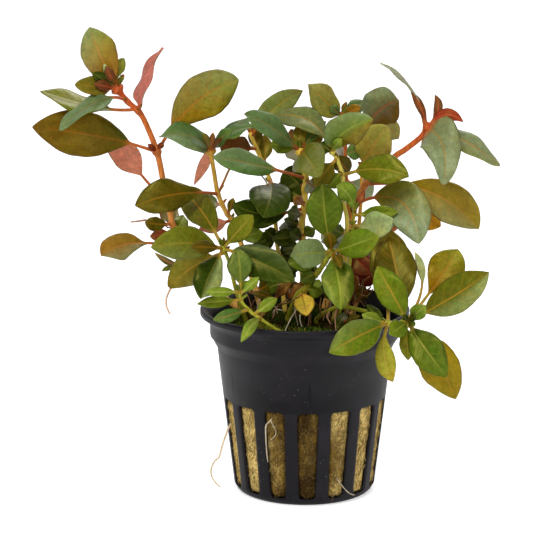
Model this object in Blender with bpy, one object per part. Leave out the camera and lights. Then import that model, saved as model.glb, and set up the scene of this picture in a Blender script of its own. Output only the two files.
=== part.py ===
"""A potted ludwigia repens: red and green stems of an aquarium plant in rock wool in a slotted net pot.

Metres, +Z up. The origin is the centre of the pot's base, the plane that it stands on. The plant's
places were read by eye in a 533 by 533 pixel picture of it, so stems and leaves are given as a pixel of
that picture and a depth behind the pot's axis in millimetres, and a pinhole camera turns both into a place.
"""

import math

import bmesh
import bpy
import numpy as np
from mathutils import Vector

MM = 0.001

# The pot, in millimetres
POT_HEIGHT = 50.0
LIP_RADIUS = 28.0
LIP_HEIGHT = 1.7
LIP_FLARE = 2.5
COLLAR_RADIUS = 25.4
COLLAR_FOOT = 42.4
COLLAR_SLANT = 2.3
BODY_TOP_RADIUS = 23.55
BODY_FOOT_RADIUS = 18.75
FOOT_ROUND = 3.0
WALL = 1.1
FLOOR = 1.3
COLLAR_DRAFT = 0.2
LIP_DRAFT = 0.25
COLLAR_INNER_RISE = 0.5
FLOOR_CORNER = 0.6
ROUND_MIDDLE = 1.0 - math.sqrt(0.5)
POT_SEGMENTS = 36
POT_ROUGHNESS = 0.42

# The slots in the pot's wall, in millimetres
SLOT_COUNT = 15
SLOT_FOOT = 1.9
SLOT_TOP = 26.4
SLOT_FOOT_WIDTH = 4.4
SLOT_TOP_WIDTH = 5.8
SLOT_CORNER = 0.9
FIRST_SLOT_DEG = 1.6
SLOT_CUT_INSIDE = 5.0
SLOT_CUT_OUTSIDE = 3.0

# The rock wool, in millimetres
GAP = 0.35
WOOL_TOP = 45.6
WOOL_CROWN = 0.9
WOOL_LUMP = 0.45
WOOL_WAVES = (0.55, 0.47)
WOOL_WAVE_STARTS = (1.0, 0.4)
WOOL_FACET_GAP = 0.25
WOOL_FOOT_INSET = 1.0
WOOL_FOOT_ROUND = 2.0
WOOL_LOW_INSET = 0.2
WOOL_NECK_GAP = 0.3
WOOL_SEGMENTS = 24
WOOL_RINGS = (0.95, 0.75, 0.4)
WOOL_ROUGHNESS = 0.95

# The picture's camera: where it stands in millimetres, how far it looks down, and its focal length in pixels
PICTURE_CENTRE = 266.5
CAMERA_X = -10.24
CAMERA_DISTANCE = 700.0
CAMERA_HEIGHT = 216.3
CAMERA_DOWN = math.radians(12.5)
FOCAL_PIXELS = 2687.0

# Leaves and stems, in millimetres
LEAF_THICK = 0.55
STALK_WIDE = 1.0
LEAF_SET_OUT = 0.7
SMALL_LEAF_SET_OUT = 0.23
TIP_BLUNT = 0.7
STEM_SIDES = 6
STEM_STEP = 9.0
STEM_TIP_SHARE = 0.55
STEM_FOOT_GAP = 0.5
STEM_LINE_STEP = 0.5
STEM_LINE_SPARE = 2
STEM_ROUGHNESS = 0.45
LEAF_ROUGHNESS = 0.4
LARGE_STATIONS = (0.0, 0.14, 0.36, 0.62, 0.86, 1.0)
SMALL_STATIONS = (0.0, 0.3, 0.68, 1.0)
LARGE_SIDES = 4
SMALL_SIDES = 2
RIGHT_COUNTS = 0.35

COLOURS = {
    "pot_black": (0.022, 0.022, 0.025),
    "wool": (0.36, 0.28, 0.11),
    "stem_red": (0.52, 0.17, 0.06),
    "stem_tan": (0.46, 0.28, 0.10),
    "stem_green": (0.30, 0.34, 0.07),
    "green": (0.10, 0.17, 0.03),
    "dark_green": (0.025, 0.06, 0.018),
    "bright_green": (0.20, 0.33, 0.05),
    "grey_green": (0.20, 0.27, 0.17),
    "olive": (0.17, 0.15, 0.025),
    "brown": (0.24, 0.13, 0.02),
    "red": (0.32, 0.07, 0.04),
    "pink": (0.55, 0.22, 0.19),
}


def clear_scene():
    for old in list(bpy.data.objects):
        bpy.data.objects.remove(old, do_unlink=True)


def material(name, colour, roughness):
    made = bpy.data.materials.new(name)
    made.use_nodes = True
    shader = made.node_tree.nodes["Principled BSDF"]
    shader.inputs["Base Color"].default_value = (*COLOURS[colour], 1.0)
    shader.inputs["Roughness"].default_value = roughness
    shader.inputs["Metallic"].default_value = 0.0
    return made


def new_object(name, verts_mm, faces, colour, roughness, split=True):
    """One closed body from points in millimetres, with its own material. Split faces are flat triangles."""
    mesh = bpy.data.meshes.new(name)
    mesh.from_pydata([tuple(float(c) * MM for c in v) for v in verts_mm], [], faces)
    work = bmesh.new()
    work.from_mesh(mesh)
    bmesh.ops.recalc_face_normals(work, faces=work.faces)
    if split:
        bmesh.ops.triangulate(work, faces=work.faces)
    work.to_mesh(mesh)
    work.free()
    mesh.shade_smooth()
    made = bpy.data.objects.new(name, mesh)
    bpy.context.collection.objects.link(made)
    mesh.materials.append(material(name, colour, roughness))
    return made


def hide_tool(tool):
    tool.hide_render = True
    tool.display_type = "WIRE"


def place(pixel, depth):
    """The point, in millimetres, that shows at this pixel and lies this far behind the pot's axis."""
    right = (pixel[0] - PICTURE_CENTRE) / FOCAL_PIXELS
    up = (PICTURE_CENTRE - pixel[1]) / FOCAL_PIXELS
    ray = np.array(
        [
            right,
            math.cos(CAMERA_DOWN) + up * math.sin(CAMERA_DOWN),
            up * math.cos(CAMERA_DOWN) - math.sin(CAMERA_DOWN),
        ]
    )
    camera = np.array([CAMERA_X, -CAMERA_DISTANCE, CAMERA_HEIGHT])
    return camera + ray * (depth + CAMERA_DISTANCE) / ray[1]


def seen_at(points):
    """The pixels at which points in millimetres show."""
    away = np.atleast_2d(points) - np.array([CAMERA_X, -CAMERA_DISTANCE, CAMERA_HEIGHT])
    ahead = away[:, 1] * math.cos(CAMERA_DOWN) - away[:, 2] * math.sin(CAMERA_DOWN)
    up = away[:, 1] * math.sin(CAMERA_DOWN) + away[:, 2] * math.cos(CAMERA_DOWN)
    across = PICTURE_CENTRE + FOCAL_PIXELS * away[:, 0] / ahead
    return np.stack([across, PICTURE_CENTRE - FOCAL_PIXELS * up / ahead], axis=1)


def unit(vector):
    return vector / np.linalg.norm(vector)


def body_radius(z):
    """The pot's outer radius below the collar, a straight taper."""
    share = z / (COLLAR_FOOT - COLLAR_SLANT)
    return BODY_FOOT_RADIUS + share * (BODY_TOP_RADIUS - BODY_FOOT_RADIUS)


def pot_profile():
    """Radius and height round the pot's wall: from the base's middle out, up, over and down inside."""
    slant_foot = COLLAR_FOOT - COLLAR_SLANT
    lip_foot = POT_HEIGHT - LIP_HEIGHT
    outside = [(0.0, 0.0), (BODY_FOOT_RADIUS - FOOT_ROUND, 0.0)]
    outside += [(body_radius(0.0) - ROUND_MIDDLE * FOOT_ROUND, ROUND_MIDDLE * FOOT_ROUND)]
    outside += [(body_radius(FOOT_ROUND), FOOT_ROUND), (BODY_TOP_RADIUS, slant_foot)]
    outside += [(COLLAR_RADIUS - COLLAR_DRAFT, COLLAR_FOOT), (COLLAR_RADIUS, lip_foot - LIP_FLARE)]
    outside += [(LIP_RADIUS, lip_foot), (LIP_RADIUS - LIP_DRAFT, POT_HEIGHT)]
    inside = [(LIP_RADIUS - WALL, POT_HEIGHT), (COLLAR_RADIUS - WALL, lip_foot - LIP_FLARE)]
    inside += [(COLLAR_RADIUS - COLLAR_DRAFT - WALL, COLLAR_FOOT + COLLAR_INNER_RISE)]
    inside += [(BODY_TOP_RADIUS - WALL, slant_foot), (body_radius(FLOOR) - WALL - FLOOR_CORNER, FLOOR)]
    inside += [(0.0, FLOOR)]
    return outside + inside


def turned(name, profile, segments, colour, roughness):
    """A profile of radius and height turned round the Z axis, with one point where the radius is 0."""
    verts = []
    rings = []
    for radius, height in profile:
        if radius == 0.0:
            rings.append([len(verts)])
            verts.append((0.0, 0.0, height))
            continue
        rings.append(list(range(len(verts), len(verts) + segments)))
        for k in range(segments):
            angle = 2.0 * math.pi * k / segments
            verts.append((radius * math.cos(angle), radius * math.sin(angle), height))
    faces = []
    for low, high in zip(rings, rings[1:]):
        for k in range(segments):
            after = (k + 1) % segments
            if len(low) == 1:
                faces.append((low[0], high[after], high[k]))
            elif len(high) == 1:
                faces.append((low[k], low[after], high[0]))
            else:
                faces.append((low[k], low[after], high[after], high[k]))
    return new_object(name, verts, faces, colour, roughness, split=False)


def slot_cutter():
    """All the slots' prisms in one mesh: each wider at its top, with cut corners, clear of the others."""
    verts = []
    faces = []
    inner, outer = BODY_FOOT_RADIUS - SLOT_CUT_INSIDE, BODY_TOP_RADIUS + SLOT_CUT_OUTSIDE
    low, high = SLOT_FOOT_WIDTH / 2, SLOT_TOP_WIDTH / 2
    outline = [(-low + SLOT_CORNER, SLOT_FOOT), (low - SLOT_CORNER, SLOT_FOOT)]
    outline += [(low, SLOT_FOOT + SLOT_CORNER)]
    outline += [(high, SLOT_TOP - SLOT_CORNER), (high - SLOT_CORNER, SLOT_TOP)]
    outline += [(-high + SLOT_CORNER, SLOT_TOP), (-high, SLOT_TOP - SLOT_CORNER)]
    outline += [(-low, SLOT_FOOT + SLOT_CORNER)]
    for k in range(SLOT_COUNT):
        angle = math.radians(FIRST_SLOT_DEG - 90.0 + 360.0 * k / SLOT_COUNT)
        out = np.array([math.cos(angle), math.sin(angle), 0.0])
        side = np.array([-math.sin(angle), math.cos(angle), 0.0])
        first = len(verts)
        for radius in (inner, outer):
            for across, height in outline:
                verts.append(out * radius + side * across + np.array([0.0, 0.0, height]))
        count = len(outline)
        faces.append([first + i for i in range(count)][::-1])
        faces.append([first + count + i for i in range(count)])
        for i in range(count):
            after = (i + 1) % count
            faces.append((first + i, first + after, first + count + after, first + count + i))
    cutter = new_object("slot_cutter", verts, faces, "pot_black", POT_ROUGHNESS, split=False)
    hide_tool(cutter)
    return cutter


def build_pot():
    pot = turned("net_pot", pot_profile(), POT_SEGMENTS, "pot_black", POT_ROUGHNESS)
    cut = pot.modifiers.new("slots", "BOOLEAN")
    cut.operation = "DIFFERENCE"
    cut.object = slot_cutter()


def wool_height(x, y):
    """The top of the rock wool: a low crown with lumps."""
    crown = WOOL_CROWN * (1.0 - (x * x + y * y) / BODY_TOP_RADIUS**2)
    across = math.sin(WOOL_WAVES[0] * x + WOOL_WAVE_STARTS[0])
    along = math.cos(WOOL_WAVES[1] * y + WOOL_WAVE_STARTS[1])
    return WOOL_TOP + crown + WOOL_LUMP * across * along


def build_wool():
    foot = FLOOR + GAP
    slant_foot = COLLAR_FOOT - COLLAR_SLANT
    low = foot + WOOL_FOOT_ROUND
    inset = WALL + GAP + WOOL_FACET_GAP
    wall = [(body_radius(foot) - inset - WOOL_FOOT_INSET, foot)]
    wall += [(body_radius(low) - inset - WOOL_LOW_INSET, low)]
    wall += [(BODY_TOP_RADIUS - inset, slant_foot - WOOL_NECK_GAP)]
    rings = [[(r * math.cos(a), r * math.sin(a), z) for a in wool_angles()] for r, z in wall]
    top_radius = BODY_TOP_RADIUS - inset
    for share in WOOL_RINGS:
        ring = []
        for a in wool_angles():
            x, y = share * top_radius * math.cos(a), share * top_radius * math.sin(a)
            ring.append((x, y, wool_height(x, y)))
        rings.append(ring)
    verts = [(0.0, 0.0, foot)] + [v for ring in rings for v in ring] + [(0.0, 0.0, wool_height(0.0, 0.0))]
    faces = []
    count = WOOL_SEGMENTS
    for k in range(count):
        after = (k + 1) % count
        faces.append((0, 1 + after, 1 + k))
        for ring in range(len(rings) - 1):
            low, high = 1 + ring * count, 1 + (ring + 1) * count
            faces.append((low + k, low + after, high + after, high + k))
        last = 1 + (len(rings) - 1) * count
        faces.append((last + k, last + after, len(verts) - 1))
    new_object("rock_wool", verts, faces, "wool", WOOL_ROUGHNESS)


def wool_angles():
    return [2.0 * math.pi * k / WOOL_SEGMENTS for k in range(WOOL_SEGMENTS)]


def smooth_path(points, step):
    """Points about step apart on a Catmull-Rom curve through the given points."""
    held = [2 * points[0] - points[1], *points, 2 * points[-1] - points[-2]]
    path = []
    for a, b, c, d in zip(held, held[1:], held[2:], held[3:]):
        count = max(1, round(np.linalg.norm(c - b) / step))
        for k in range(count):
            t = k / count
            square = 2 * a - 5 * b + 4 * c - d
            cube = 3 * b - a - 3 * c + d
            path.append(0.5 * (2 * b + (c - a) * t + square * t**2 + cube * t**3))
    path.append(points[-1])
    return np.array(path)


class Stem:
    """A stem along pixels with depths, from its foot in the rock wool to its tip, as a tapering tube."""

    def __init__(self, key, radius, route, colour):
        self.name = "stem_" + key
        self.radius = radius
        points = [place(stop[:2], stop[2]) for stop in route]
        foot = points[0]
        foot[2] = wool_height(foot[0], foot[1]) + STEM_FOOT_GAP + radius
        self.path = smooth_path(points, STEM_STEP)
        self.line = smooth_path(points, STEM_LINE_STEP)
        self.colour = colour
        self.small = bpy.data.collections.new(self.name + "_small_leaves")
        bpy.context.scene.collection.children.link(self.small)

    def nearest(self, pixel):
        """The point of the stem's middle line, a little below its tip, that shows nearest to this pixel."""
        line = self.line[:-STEM_LINE_SPARE]
        apart = seen_at(line) - np.array(pixel, dtype=float)
        return line[np.argmin((apart**2).sum(axis=1))]

    def build(self):
        verts = []
        faces = []
        last = len(self.path) - 1
        side = None
        for i, point in enumerate(self.path):
            along = unit(self.path[min(i + 1, last)] - self.path[max(i - 1, 0)])
            if side is None:
                side = unit(np.cross(along, np.array([0.0, 1.0, 0.0])))
            side = unit(side - along * side.dot(along))
            across = np.cross(along, side)
            radius = self.radius * (1.0 - (1.0 - STEM_TIP_SHARE) * i / last)
            for k in range(STEM_SIDES):
                angle = 2.0 * math.pi * k / STEM_SIDES
                verts.append(point + radius * (math.cos(angle) * side + math.sin(angle) * across))
        for i in range(last):
            for k in range(STEM_SIDES):
                low, after = i * STEM_SIDES, (k + 1) % STEM_SIDES
                faces.append((low + k, low + after, low + STEM_SIDES + after, low + STEM_SIDES + k))
        faces.append(list(range(STEM_SIDES))[::-1])
        faces.append([last * STEM_SIDES + k for k in range(STEM_SIDES)])
        made = new_object(self.name, verts, faces, self.colour, STEM_ROUGHNESS)
        if self.small.objects:
            union = made.modifiers.new("small_leaves", "BOOLEAN")
            union.operation = "UNION"
            union.operand_type = "COLLECTION"
            union.collection = self.small


def blade_share(t, widest):
    """Half width of a blade at the share t of its length, as a share of its half width where it is widest."""
    rise = TIP_BLUNT * widest / (1 - widest)
    return (t / widest) ** rise * ((1 - t) / (1 - widest)) ** TIP_BLUNT


def leaf_mesh(start, middle, tip, width, turn, fold, stalk, widest, stations, sides):
    """A leaf along the curve through three points: a thin body, thickest at the midrib, that ends in a point.

    The upper face looks at the camera, then turns by turn degrees about the midrib, so that it looks up at
    90, or to the right if the leaf stands upright, and the underside shows past that. Its halves rise by fold
    times their width.
    """
    control = 2 * middle - 0.5 * (start + tip)
    camera = np.array([CAMERA_X, -CAMERA_DISTANCE, CAMERA_HEIGHT])
    first_rise = np.cross(control - start, camera - start)
    way_up = 1.0 if first_rise[2] + RIGHT_COUNTS * first_rise[0] >= 0 else -1.0
    verts = []
    for u in stations:
        centre = (1 - u) ** 2 * start + 2 * u * (1 - u) * control + u**2 * tip
        along = unit((1 - u) * (control - start) + u * (tip - control))
        if u == 1.0:
            verts.append(tip)
            break
        facing = unit(camera - centre)
        facing = unit(facing - along * facing.dot(along))
        angle = math.radians(turn)
        normal = math.cos(angle) * facing + math.sin(angle) * way_up * np.cross(along, facing)
        across = np.cross(along, normal)
        half = STALK_WIDE / 2
        if u > stalk:
            half = max(half * (1 - u), width / 2 * blade_share((u - stalk) / (1 - stalk), widest))
        thick = LEAF_THICK / 2
        places = [2 * k / sides - 1 for k in range(sides + 1)]
        sheet = [centre + half * (across * v + normal * fold * abs(v)) for v in places]
        top = [point + normal * thick * (1 - abs(v)) for point, v in zip(sheet, places)]
        low = [point - normal * thick * (1 - abs(v)) for point, v in zip(sheet, places)]
        verts += top + low[1:-1]
    ring = 2 * sides
    order = list(range(sides + 1)) + [2 * sides - k for k in range(1, sides)]
    faces = [[order[k] for k in range(ring)]]
    count = len(stations) - 1
    for i in range(count):
        for k in range(ring):
            a, b = i * ring + order[k], i * ring + order[(k + 1) % ring]
            if i == count - 1:
                faces.append((a, b, len(verts) - 1))
            else:
                faces.append((a, b, b + ring, a + ring))
    return verts, faces


def leaf(name, stem, base, tip, depth, width, turn=0, via=None, arch=1.0, fold=0.15, stalk=0.15, widest=0.5,
         tint="green", small=False):
    """A leaf from the stem at pixel base to pixel tip, whose tip lies at depth. It bows by arch towards the
    viewer and passes pixel via. A small leaf is fused to its stem, and a large one is a piece that keeps off
    it."""
    root = stem.nearest(base)
    end = place(tip, depth)
    middle_pixel = via or ((base[0] + tip[0]) / 2, (base[1] + tip[1]) / 2)
    middle = place(middle_pixel, (root[1] + depth) / 2 - arch)
    if small:
        start = root + unit(middle - root) * SMALL_LEAF_SET_OUT
        shape = leaf_mesh(start, middle, end, width, turn, fold, stalk, widest, SMALL_STATIONS, SMALL_SIDES)
        made = new_object(name, *shape, tint, LEAF_ROUGHNESS)
        bpy.context.collection.objects.unlink(made)
        stem.small.objects.link(made)
        hide_tool(made)
        return
    start = root + unit(middle - root) * (stem.radius + LEAF_SET_OUT)
    shape = leaf_mesh(start, middle, end, width, turn, fold, stalk, widest, LARGE_STATIONS, LARGE_SIDES)
    new_object("leaf_" + name, *shape, tint, LEAF_ROUGHNESS)


def build_left_shoot():
    stem = Stem("left", 0.95, [(240, 312, 8), (215, 290, 10), (190, 258, 9), (174, 228, 7), (170, 212, 6),
                               (163, 180, 4), (157, 152, 2), (146, 124, 0), (139, 112, -1), (127, 101, -2),
                               (115, 86, -3)], "stem_red")
    leaf("left_tip", stem, (115, 84), (90, 27), -4, 9.4, via=(100, 55), stalk=0.06, tint="olive")
    leaf("left_high", stem, (137, 110), (40, 91), -3, 10.2, turn=62, via=(95, 107), stalk=0.3, widest=0.56,
         tint="grey_green")
    leaf("left_front", stem, (126, 101), (59, 130), -18, 8.0, turn=58, via=(99, 101), stalk=0.28,
         tint="grey_green")
    leaf("left_broad", stem, (155, 152), (32, 127), -4, 12.2, via=(102, 137), stalk=0.25, widest=0.55,
         tint="olive")
    leaf("left_back", stem, (168, 206), (114, 139), 14, 8.2, turn=200, via=(134, 166), stalk=0.37,
         tint="pink")
    leaf("left_upright", stem, (139, 112), (163, 47), 3, 8.6, turn=110, via=(144, 79), stalk=0.1,
         widest=0.32, tint="pink")
    leaf("left_inner", stem, (158, 151), (239, 80), 4, 11.8, via=(194, 104), stalk=0.2, widest=0.56,
         tint="olive")
    leaf("left_low", stem, (184, 250), (101, 256), -4, 7.8, turn=25, via=(136, 243), stalk=0.35, widest=0.6,
         tint="brown")
    leaf("left_side", stem, (117, 90), (75, 84), -10, 6.0, turn=30, small=True, tint="olive")
    leaf("left_bud_a", stem, (116, 86), (124, 58), 0, 3.4, via=(116, 75), stalk=0.3, widest=0.62,
         small=True, tint="green")
    leaf("left_bud_b", stem, (115, 86), (106, 66), -7, 2.6, small=True, tint="red")
    leaf("left_bud_c", stem, (115, 86), (92, 73), -8, 3.0, small=True, tint="dark_green")
    leaf("left_rear_a", stem, (175, 232), (165, 197), 28, 5.0, small=True, tint="olive")
    leaf("left_rear_b", stem, (191, 258), (184, 240), 31, 7.0, small=True, tint="olive")
    leaf("left_scale_a", stem, (168, 226), (145, 222), 2, 4.0, small=True, tint="olive")
    leaf("left_scale_b", stem, (172, 234), (150, 236), 2, 3.4, small=True, tint="red")
    leaf("left_scale_c", stem, (176, 232), (184, 216), 12, 4.5, small=True, tint="green")
    stem.build()


def build_second_shoot():
    stem = Stem("second", 0.75, [(262, 314, 4), (250, 270, 6), (234, 225, 6), (226, 212, 5), (218, 194, 4),
                                 (214, 172, 3), (210, 148, 2)], "stem_tan")
    leaf("second_low", stem, (218, 194), (135, 206), -12, 9.0, turn=10, via=(177, 194), arch=3, stalk=0.22,
         widest=0.56, tint="olive")
    leaf("second_tip", stem, (211, 146), (159, 137), -8, 9.8, turn=50, via=(189, 136), arch=2, stalk=0.06,
         widest=0.42, tint="grey_green")
    leaf("second_right", stem, (210, 147), (254, 128), -1, 8.0, turn=70, via=(232, 133), small=True,
         tint="grey_green")
    leaf("second_behind", stem, (211, 149), (250, 117), 14, 6.0, turn=50, small=True, tint="grey_green")
    leaf("second_hanging", stem, (218, 147), (194, 185), 9, 3.2, turn=200, via=(205, 162), stalk=0.06,
         small=True, tint="pink")
    leaf("second_young", stem, (210, 149), (196, 131), 4, 3.0, small=True, tint="red")
    leaf("second_under", stem, (232, 221), (199, 229), 2, 4.0, turn=190, small=True, tint="pink")
    leaf("second_rear", stem, (222, 204), (197, 206), 27, 7.0, small=True, tint="green")
    leaf("second_small", stem, (238, 238), (263, 232), 0, 5.0, small=True, tint="green")
    stem.build()


def build_third_shoot():
    stem = Stem("third", 0.65, [(285, 314, 6), (278, 250, 9), (272, 190, 10), (264, 165, 9), (258, 152, 8),
                                (250, 133, 8)], "stem_tan")
    leaf("third_back", stem, (251, 134), (303, 91), 15, 6.8, via=(274, 109), stalk=0.06, tint="grey_green")
    leaf("third_dark", stem, (269, 180), (263, 218), -12, 11.4, via=(271, 194), arch=3, tint="dark_green")
    leaf("third_under", stem, (256, 150), (220, 146), 0, 7.4, turn=150, small=True, tint="red")
    leaf("third_young_a", stem, (258, 153), (254, 126), 14, 4.0, small=True, tint="brown")
    leaf("third_young_b", stem, (265, 165), (265, 134), 14, 4.0, small=True, tint="brown")
    leaf("third_rear", stem, (271, 186), (293, 197), 34, 8.0, small=True, tint="green")
    leaf("third_scale", stem, (277, 240), (265, 230), 3, 4.0, small=True, tint="dark_green")
    stem.build()


def build_middle_shoot():
    stem = Stem("middle", 0.9, [(304, 318, 2), (302, 225, 2), (304, 210, 2), (305, 190, 2), (306, 180, 2),
                                (304, 170, 2), (300, 148, 2)], "stem_tan")
    leaf("middle_left", stem, (305, 179), (213, 157), -10, 7.8, turn=35, via=(256, 165), stalk=0.28,
         tint="grey_green")
    leaf("middle_low", stem, (304, 208), (233, 204), -4, 8.0, turn=20, via=(264, 214), stalk=0.2,
         tint="dark_green")
    leaf("middle_high", stem, (300, 149), (244, 114), -8, 7.6, turn=40, via=(272, 128), stalk=0.08,
         tint="grey_green")
    leaf("middle_front", stem, (301, 150), (318, 177), -20, 10.2, via=(309, 160), arch=2, stalk=0.08,
         widest=0.4, tint="grey_green")
    leaf("middle_side", stem, (298, 143), (270, 146), 6, 5.5, turn=10, small=True, tint="dark_green")
    leaf("middle_young_a", stem, (300, 149), (300, 124), 5, 4.0, small=True, tint="olive")
    leaf("middle_young_b", stem, (300, 149), (326, 121), 4, 3.6, turn=40, small=True, tint="grey_green")
    leaf("middle_round", stem, (305, 190), (284, 170), 8, 8.5, small=True, tint="dark_green")
    leaf("middle_rear_a", stem, (304, 168), (296, 138), 33, 8.0, small=True, tint="olive")
    leaf("middle_rear_b", stem, (303, 214), (326, 204), 26, 7.0, small=True, tint="green")
    leaf("middle_scale_a", stem, (302, 226), (284, 219), 8, 3.6, small=True, tint="dark_green")
    leaf("middle_scale_b", stem, (302, 240), (290, 232), -4, 4.5, small=True, tint="dark_green")
    stem.build()


def build_pale_shoot():
    stem = Stem("pale", 0.7, [(334, 316, -2), (345, 265, -1), (347, 222, -1), (344, 205, -1), (341, 187, -1),
                              (343, 177, -1), (336, 157, -1), (330, 149, -2)], "stem_green")
    leaf("pale_top", stem, (331, 150), (373, 119), -9, 9.4, turn=15, via=(344, 132), stalk=0.08,
         widest=0.46, tint="green")
    leaf("pale_right", stem, (343, 176), (409, 177), -11, 8.2, turn=15, via=(377, 169), stalk=0.18,
         tint="green")
    leaf("pale_behind", stem, (331, 151), (275, 117), 8, 8.8, turn=45, via=(309, 121), stalk=0.15,
         small=True, tint="brown")
    leaf("pale_striped_a", stem, (336, 158), (314, 187), -8, 5.4, small=True, tint="grey_green")
    leaf("pale_striped_b", stem, (342, 172), (327, 187), -7, 4.6, small=True, tint="green")
    leaf("pale_young", stem, (331, 150), (342, 139), -6, 2.8, small=True, tint="bright_green")
    leaf("pale_maroon", stem, (346, 250), (373, 275), -5, 6.6, small=True, tint="red")
    stem.build()


def build_back_shoot():
    stem = Stem("back", 0.7, [(338, 309, 13), (350, 240, 13), (346, 180, 13), (345, 140, 12), (341, 113, 12)],
                "stem_red")
    leaf("back_high", stem, (341, 116), (308, 84), 8, 8.4, turn=30, via=(326, 102), stalk=0.06, widest=0.5,
         tint="olive")
    leaf("back_orange", stem, (342, 115), (361, 107), 8, 3.2, small=True, tint="brown")
    leaf("back_young", stem, (341, 114), (330, 107), 8, 2.6, small=True, tint="grey_green")
    leaf("back_behind", stem, (342, 116), (365, 101), 22, 4.4, small=True, tint="grey_green")
    leaf("back_rear_d", stem, (350, 246), (362, 264), 38, 8.0, small=True, tint="dark_green")
    leaf("back_rear_e", stem, (345, 275), (326, 266), 29, 6.0, small=True, tint="bright_green")
    leaf("back_rear_a", stem, (345, 140), (330, 150), 34, 8.0, small=True, tint="olive")
    leaf("back_rear_b", stem, (346, 180), (372, 196), 32, 8.0, small=True, tint="green")
    leaf("back_rear_c", stem, (350, 232), (322, 240), 36, 8.0, small=True, tint="green")
    stem.build()


def build_round_shoot():
    stem = Stem("round", 0.6, [(346, 311, 9), (356, 255, 10), (361, 200, 11), (362, 172, 11), (364, 150, 11),
                               (366, 123, 11)], "stem_tan")
    leaf("round_top", stem, (366, 123), (399, 101), -3, 10.8, via=(382, 108), stalk=0.05, tint="olive")
    leaf("round_low", stem, (363, 168), (388, 126), 5, 10.0, via=(373, 146), stalk=0.1, tint="olive")
    leaf("round_behind", stem, (365, 130), (399, 138), 13, 7.0, turn=30, via=(385, 128), small=True,
         tint="grey_green")
    leaf("round_rear", stem, (364, 150), (380, 160), 33, 8.0, small=True, tint="green")
    stem.build()


def build_right_shoot():
    stem = Stem("right", 0.85, [(325, 314, 10), (340, 262, 10), (352, 215, 7), (366, 184, 3), (393, 158, 0),
                                (406, 149, -1), (422, 136, -2), (430, 124, -3)], "stem_red")
    leaf("right_grey", stem, (357, 203), (419, 244), -14, 11.6, via=(400, 201), stalk=0.17, widest=0.53,
         tint="grey_green")
    leaf("right_broad", stem, (366, 185), (479, 229), -2, 10.7, via=(430, 192), arch=0, stalk=0.25,
         widest=0.6, tint="olive")
    leaf("right_edge", stem, (425, 131), (380, 63), -5, 5.0, turn=100, via=(411, 90), stalk=0.25,
         tint="grey_green")
    leaf("right_hanging", stem, (427, 121), (443, 185), -16, 10.8, via=(444, 149), arch=2, stalk=0.03,
         widest=0.4, tint="grey_green")
    leaf("right_tip", stem, (430, 124), (500, 166), -1, 7.6, turn=45, via=(466, 142), stalk=0.08,
         tint="grey_green")
    leaf("right_young_a", stem, (430, 124), (463, 122), -6, 3.6, turn=190, via=(446, 115), widest=0.4,
         small=True, tint="red")
    leaf("right_young_b", stem, (429, 125), (435, 95), -2, 2.4, via=(438, 110), small=True, tint="brown")
    stem.build()


def build_far_shoot():
    stem = Stem("far", 0.6, [(352, 309, 6), (376, 262, 10), (394, 229, 12), (408, 205, 13)], "stem_red")
    leaf("far_orange", stem, (407, 207), (441, 226), 10, 7.0, small=True, tint="brown")
    leaf("far_rear_a", stem, (390, 236), (384, 225), 34, 7.5, small=True, tint="green")
    leaf("far_rear_b", stem, (374, 266), (367, 283), 33, 7.0, small=True, tint="olive")
    stem.build()


def build_low_shoot():
    stem = Stem("low", 0.65, [(316, 322, -4), (326, 312, -7), (341, 307, -10), (364, 311, -15),
                              (377, 314, -19), (388, 323, -24),
                              (411, 321, -24)], "stem_green")
    leaf("low_upper", stem, (411, 319), (458, 249), -20, 9.4, via=(435, 285), stalk=0.28, widest=0.6,
         tint="olive")
    leaf("low_right", stem, (411, 320), (489, 272), -30, 9.4, via=(449, 299), stalk=0.2, widest=0.5,
         tint="green")
    leaf("low_front", stem, (410, 322), (447, 377), -33, 8.6, via=(425, 348), stalk=0.12,
         tint="bright_green")
    leaf("low_down", stem, (411, 322), (456, 399), -22, 10.4, via=(436, 360), arch=0, stalk=0.2,
         widest=0.47, tint="brown")
    leaf("low_inner", stem, (409, 320), (377, 266), -21, 8.0, via=(392, 293), stalk=0.08, tint="green")
    leaf("low_brown", stem, (405, 320), (388, 237), -12, 11.2, via=(398, 279), arch=0, stalk=0.2,
         widest=0.53, tint="brown")
    leaf("low_tall", stem, (388, 325), (391, 229), -4, 10.6, via=(389, 272), arch=-1, stalk=0.25,
         tint="olive")
    leaf("low_left", stem, (388, 326), (329, 353), -36, 8.6, via=(359, 336), arch=3, stalk=0.08,
         tint="green")
    leaf("low_yellow", stem, (388, 326), (393, 382), -30, 5.2, via=(384, 352), arch=0, widest=0.6,
         tint="bright_green")
    leaf("low_pale", stem, (386, 325), (362, 314), -25, 3.6, small=True, tint="bright_green")
    leaf("low_dark", stem, (386, 325), (367, 305), -17, 3.0, small=True, tint="dark_green")
    leaf("low_bud_a", stem, (409, 321), (425, 305), -31, 4.2, small=True, tint="bright_green")
    leaf("low_bud_b", stem, (411, 321), (389, 334), -32, 5.2, small=True, tint="green")
    leaf("low_bud_c", stem, (406, 322), (408, 360), -27, 4.2, small=True, tint="brown")
    stem.build()


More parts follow.
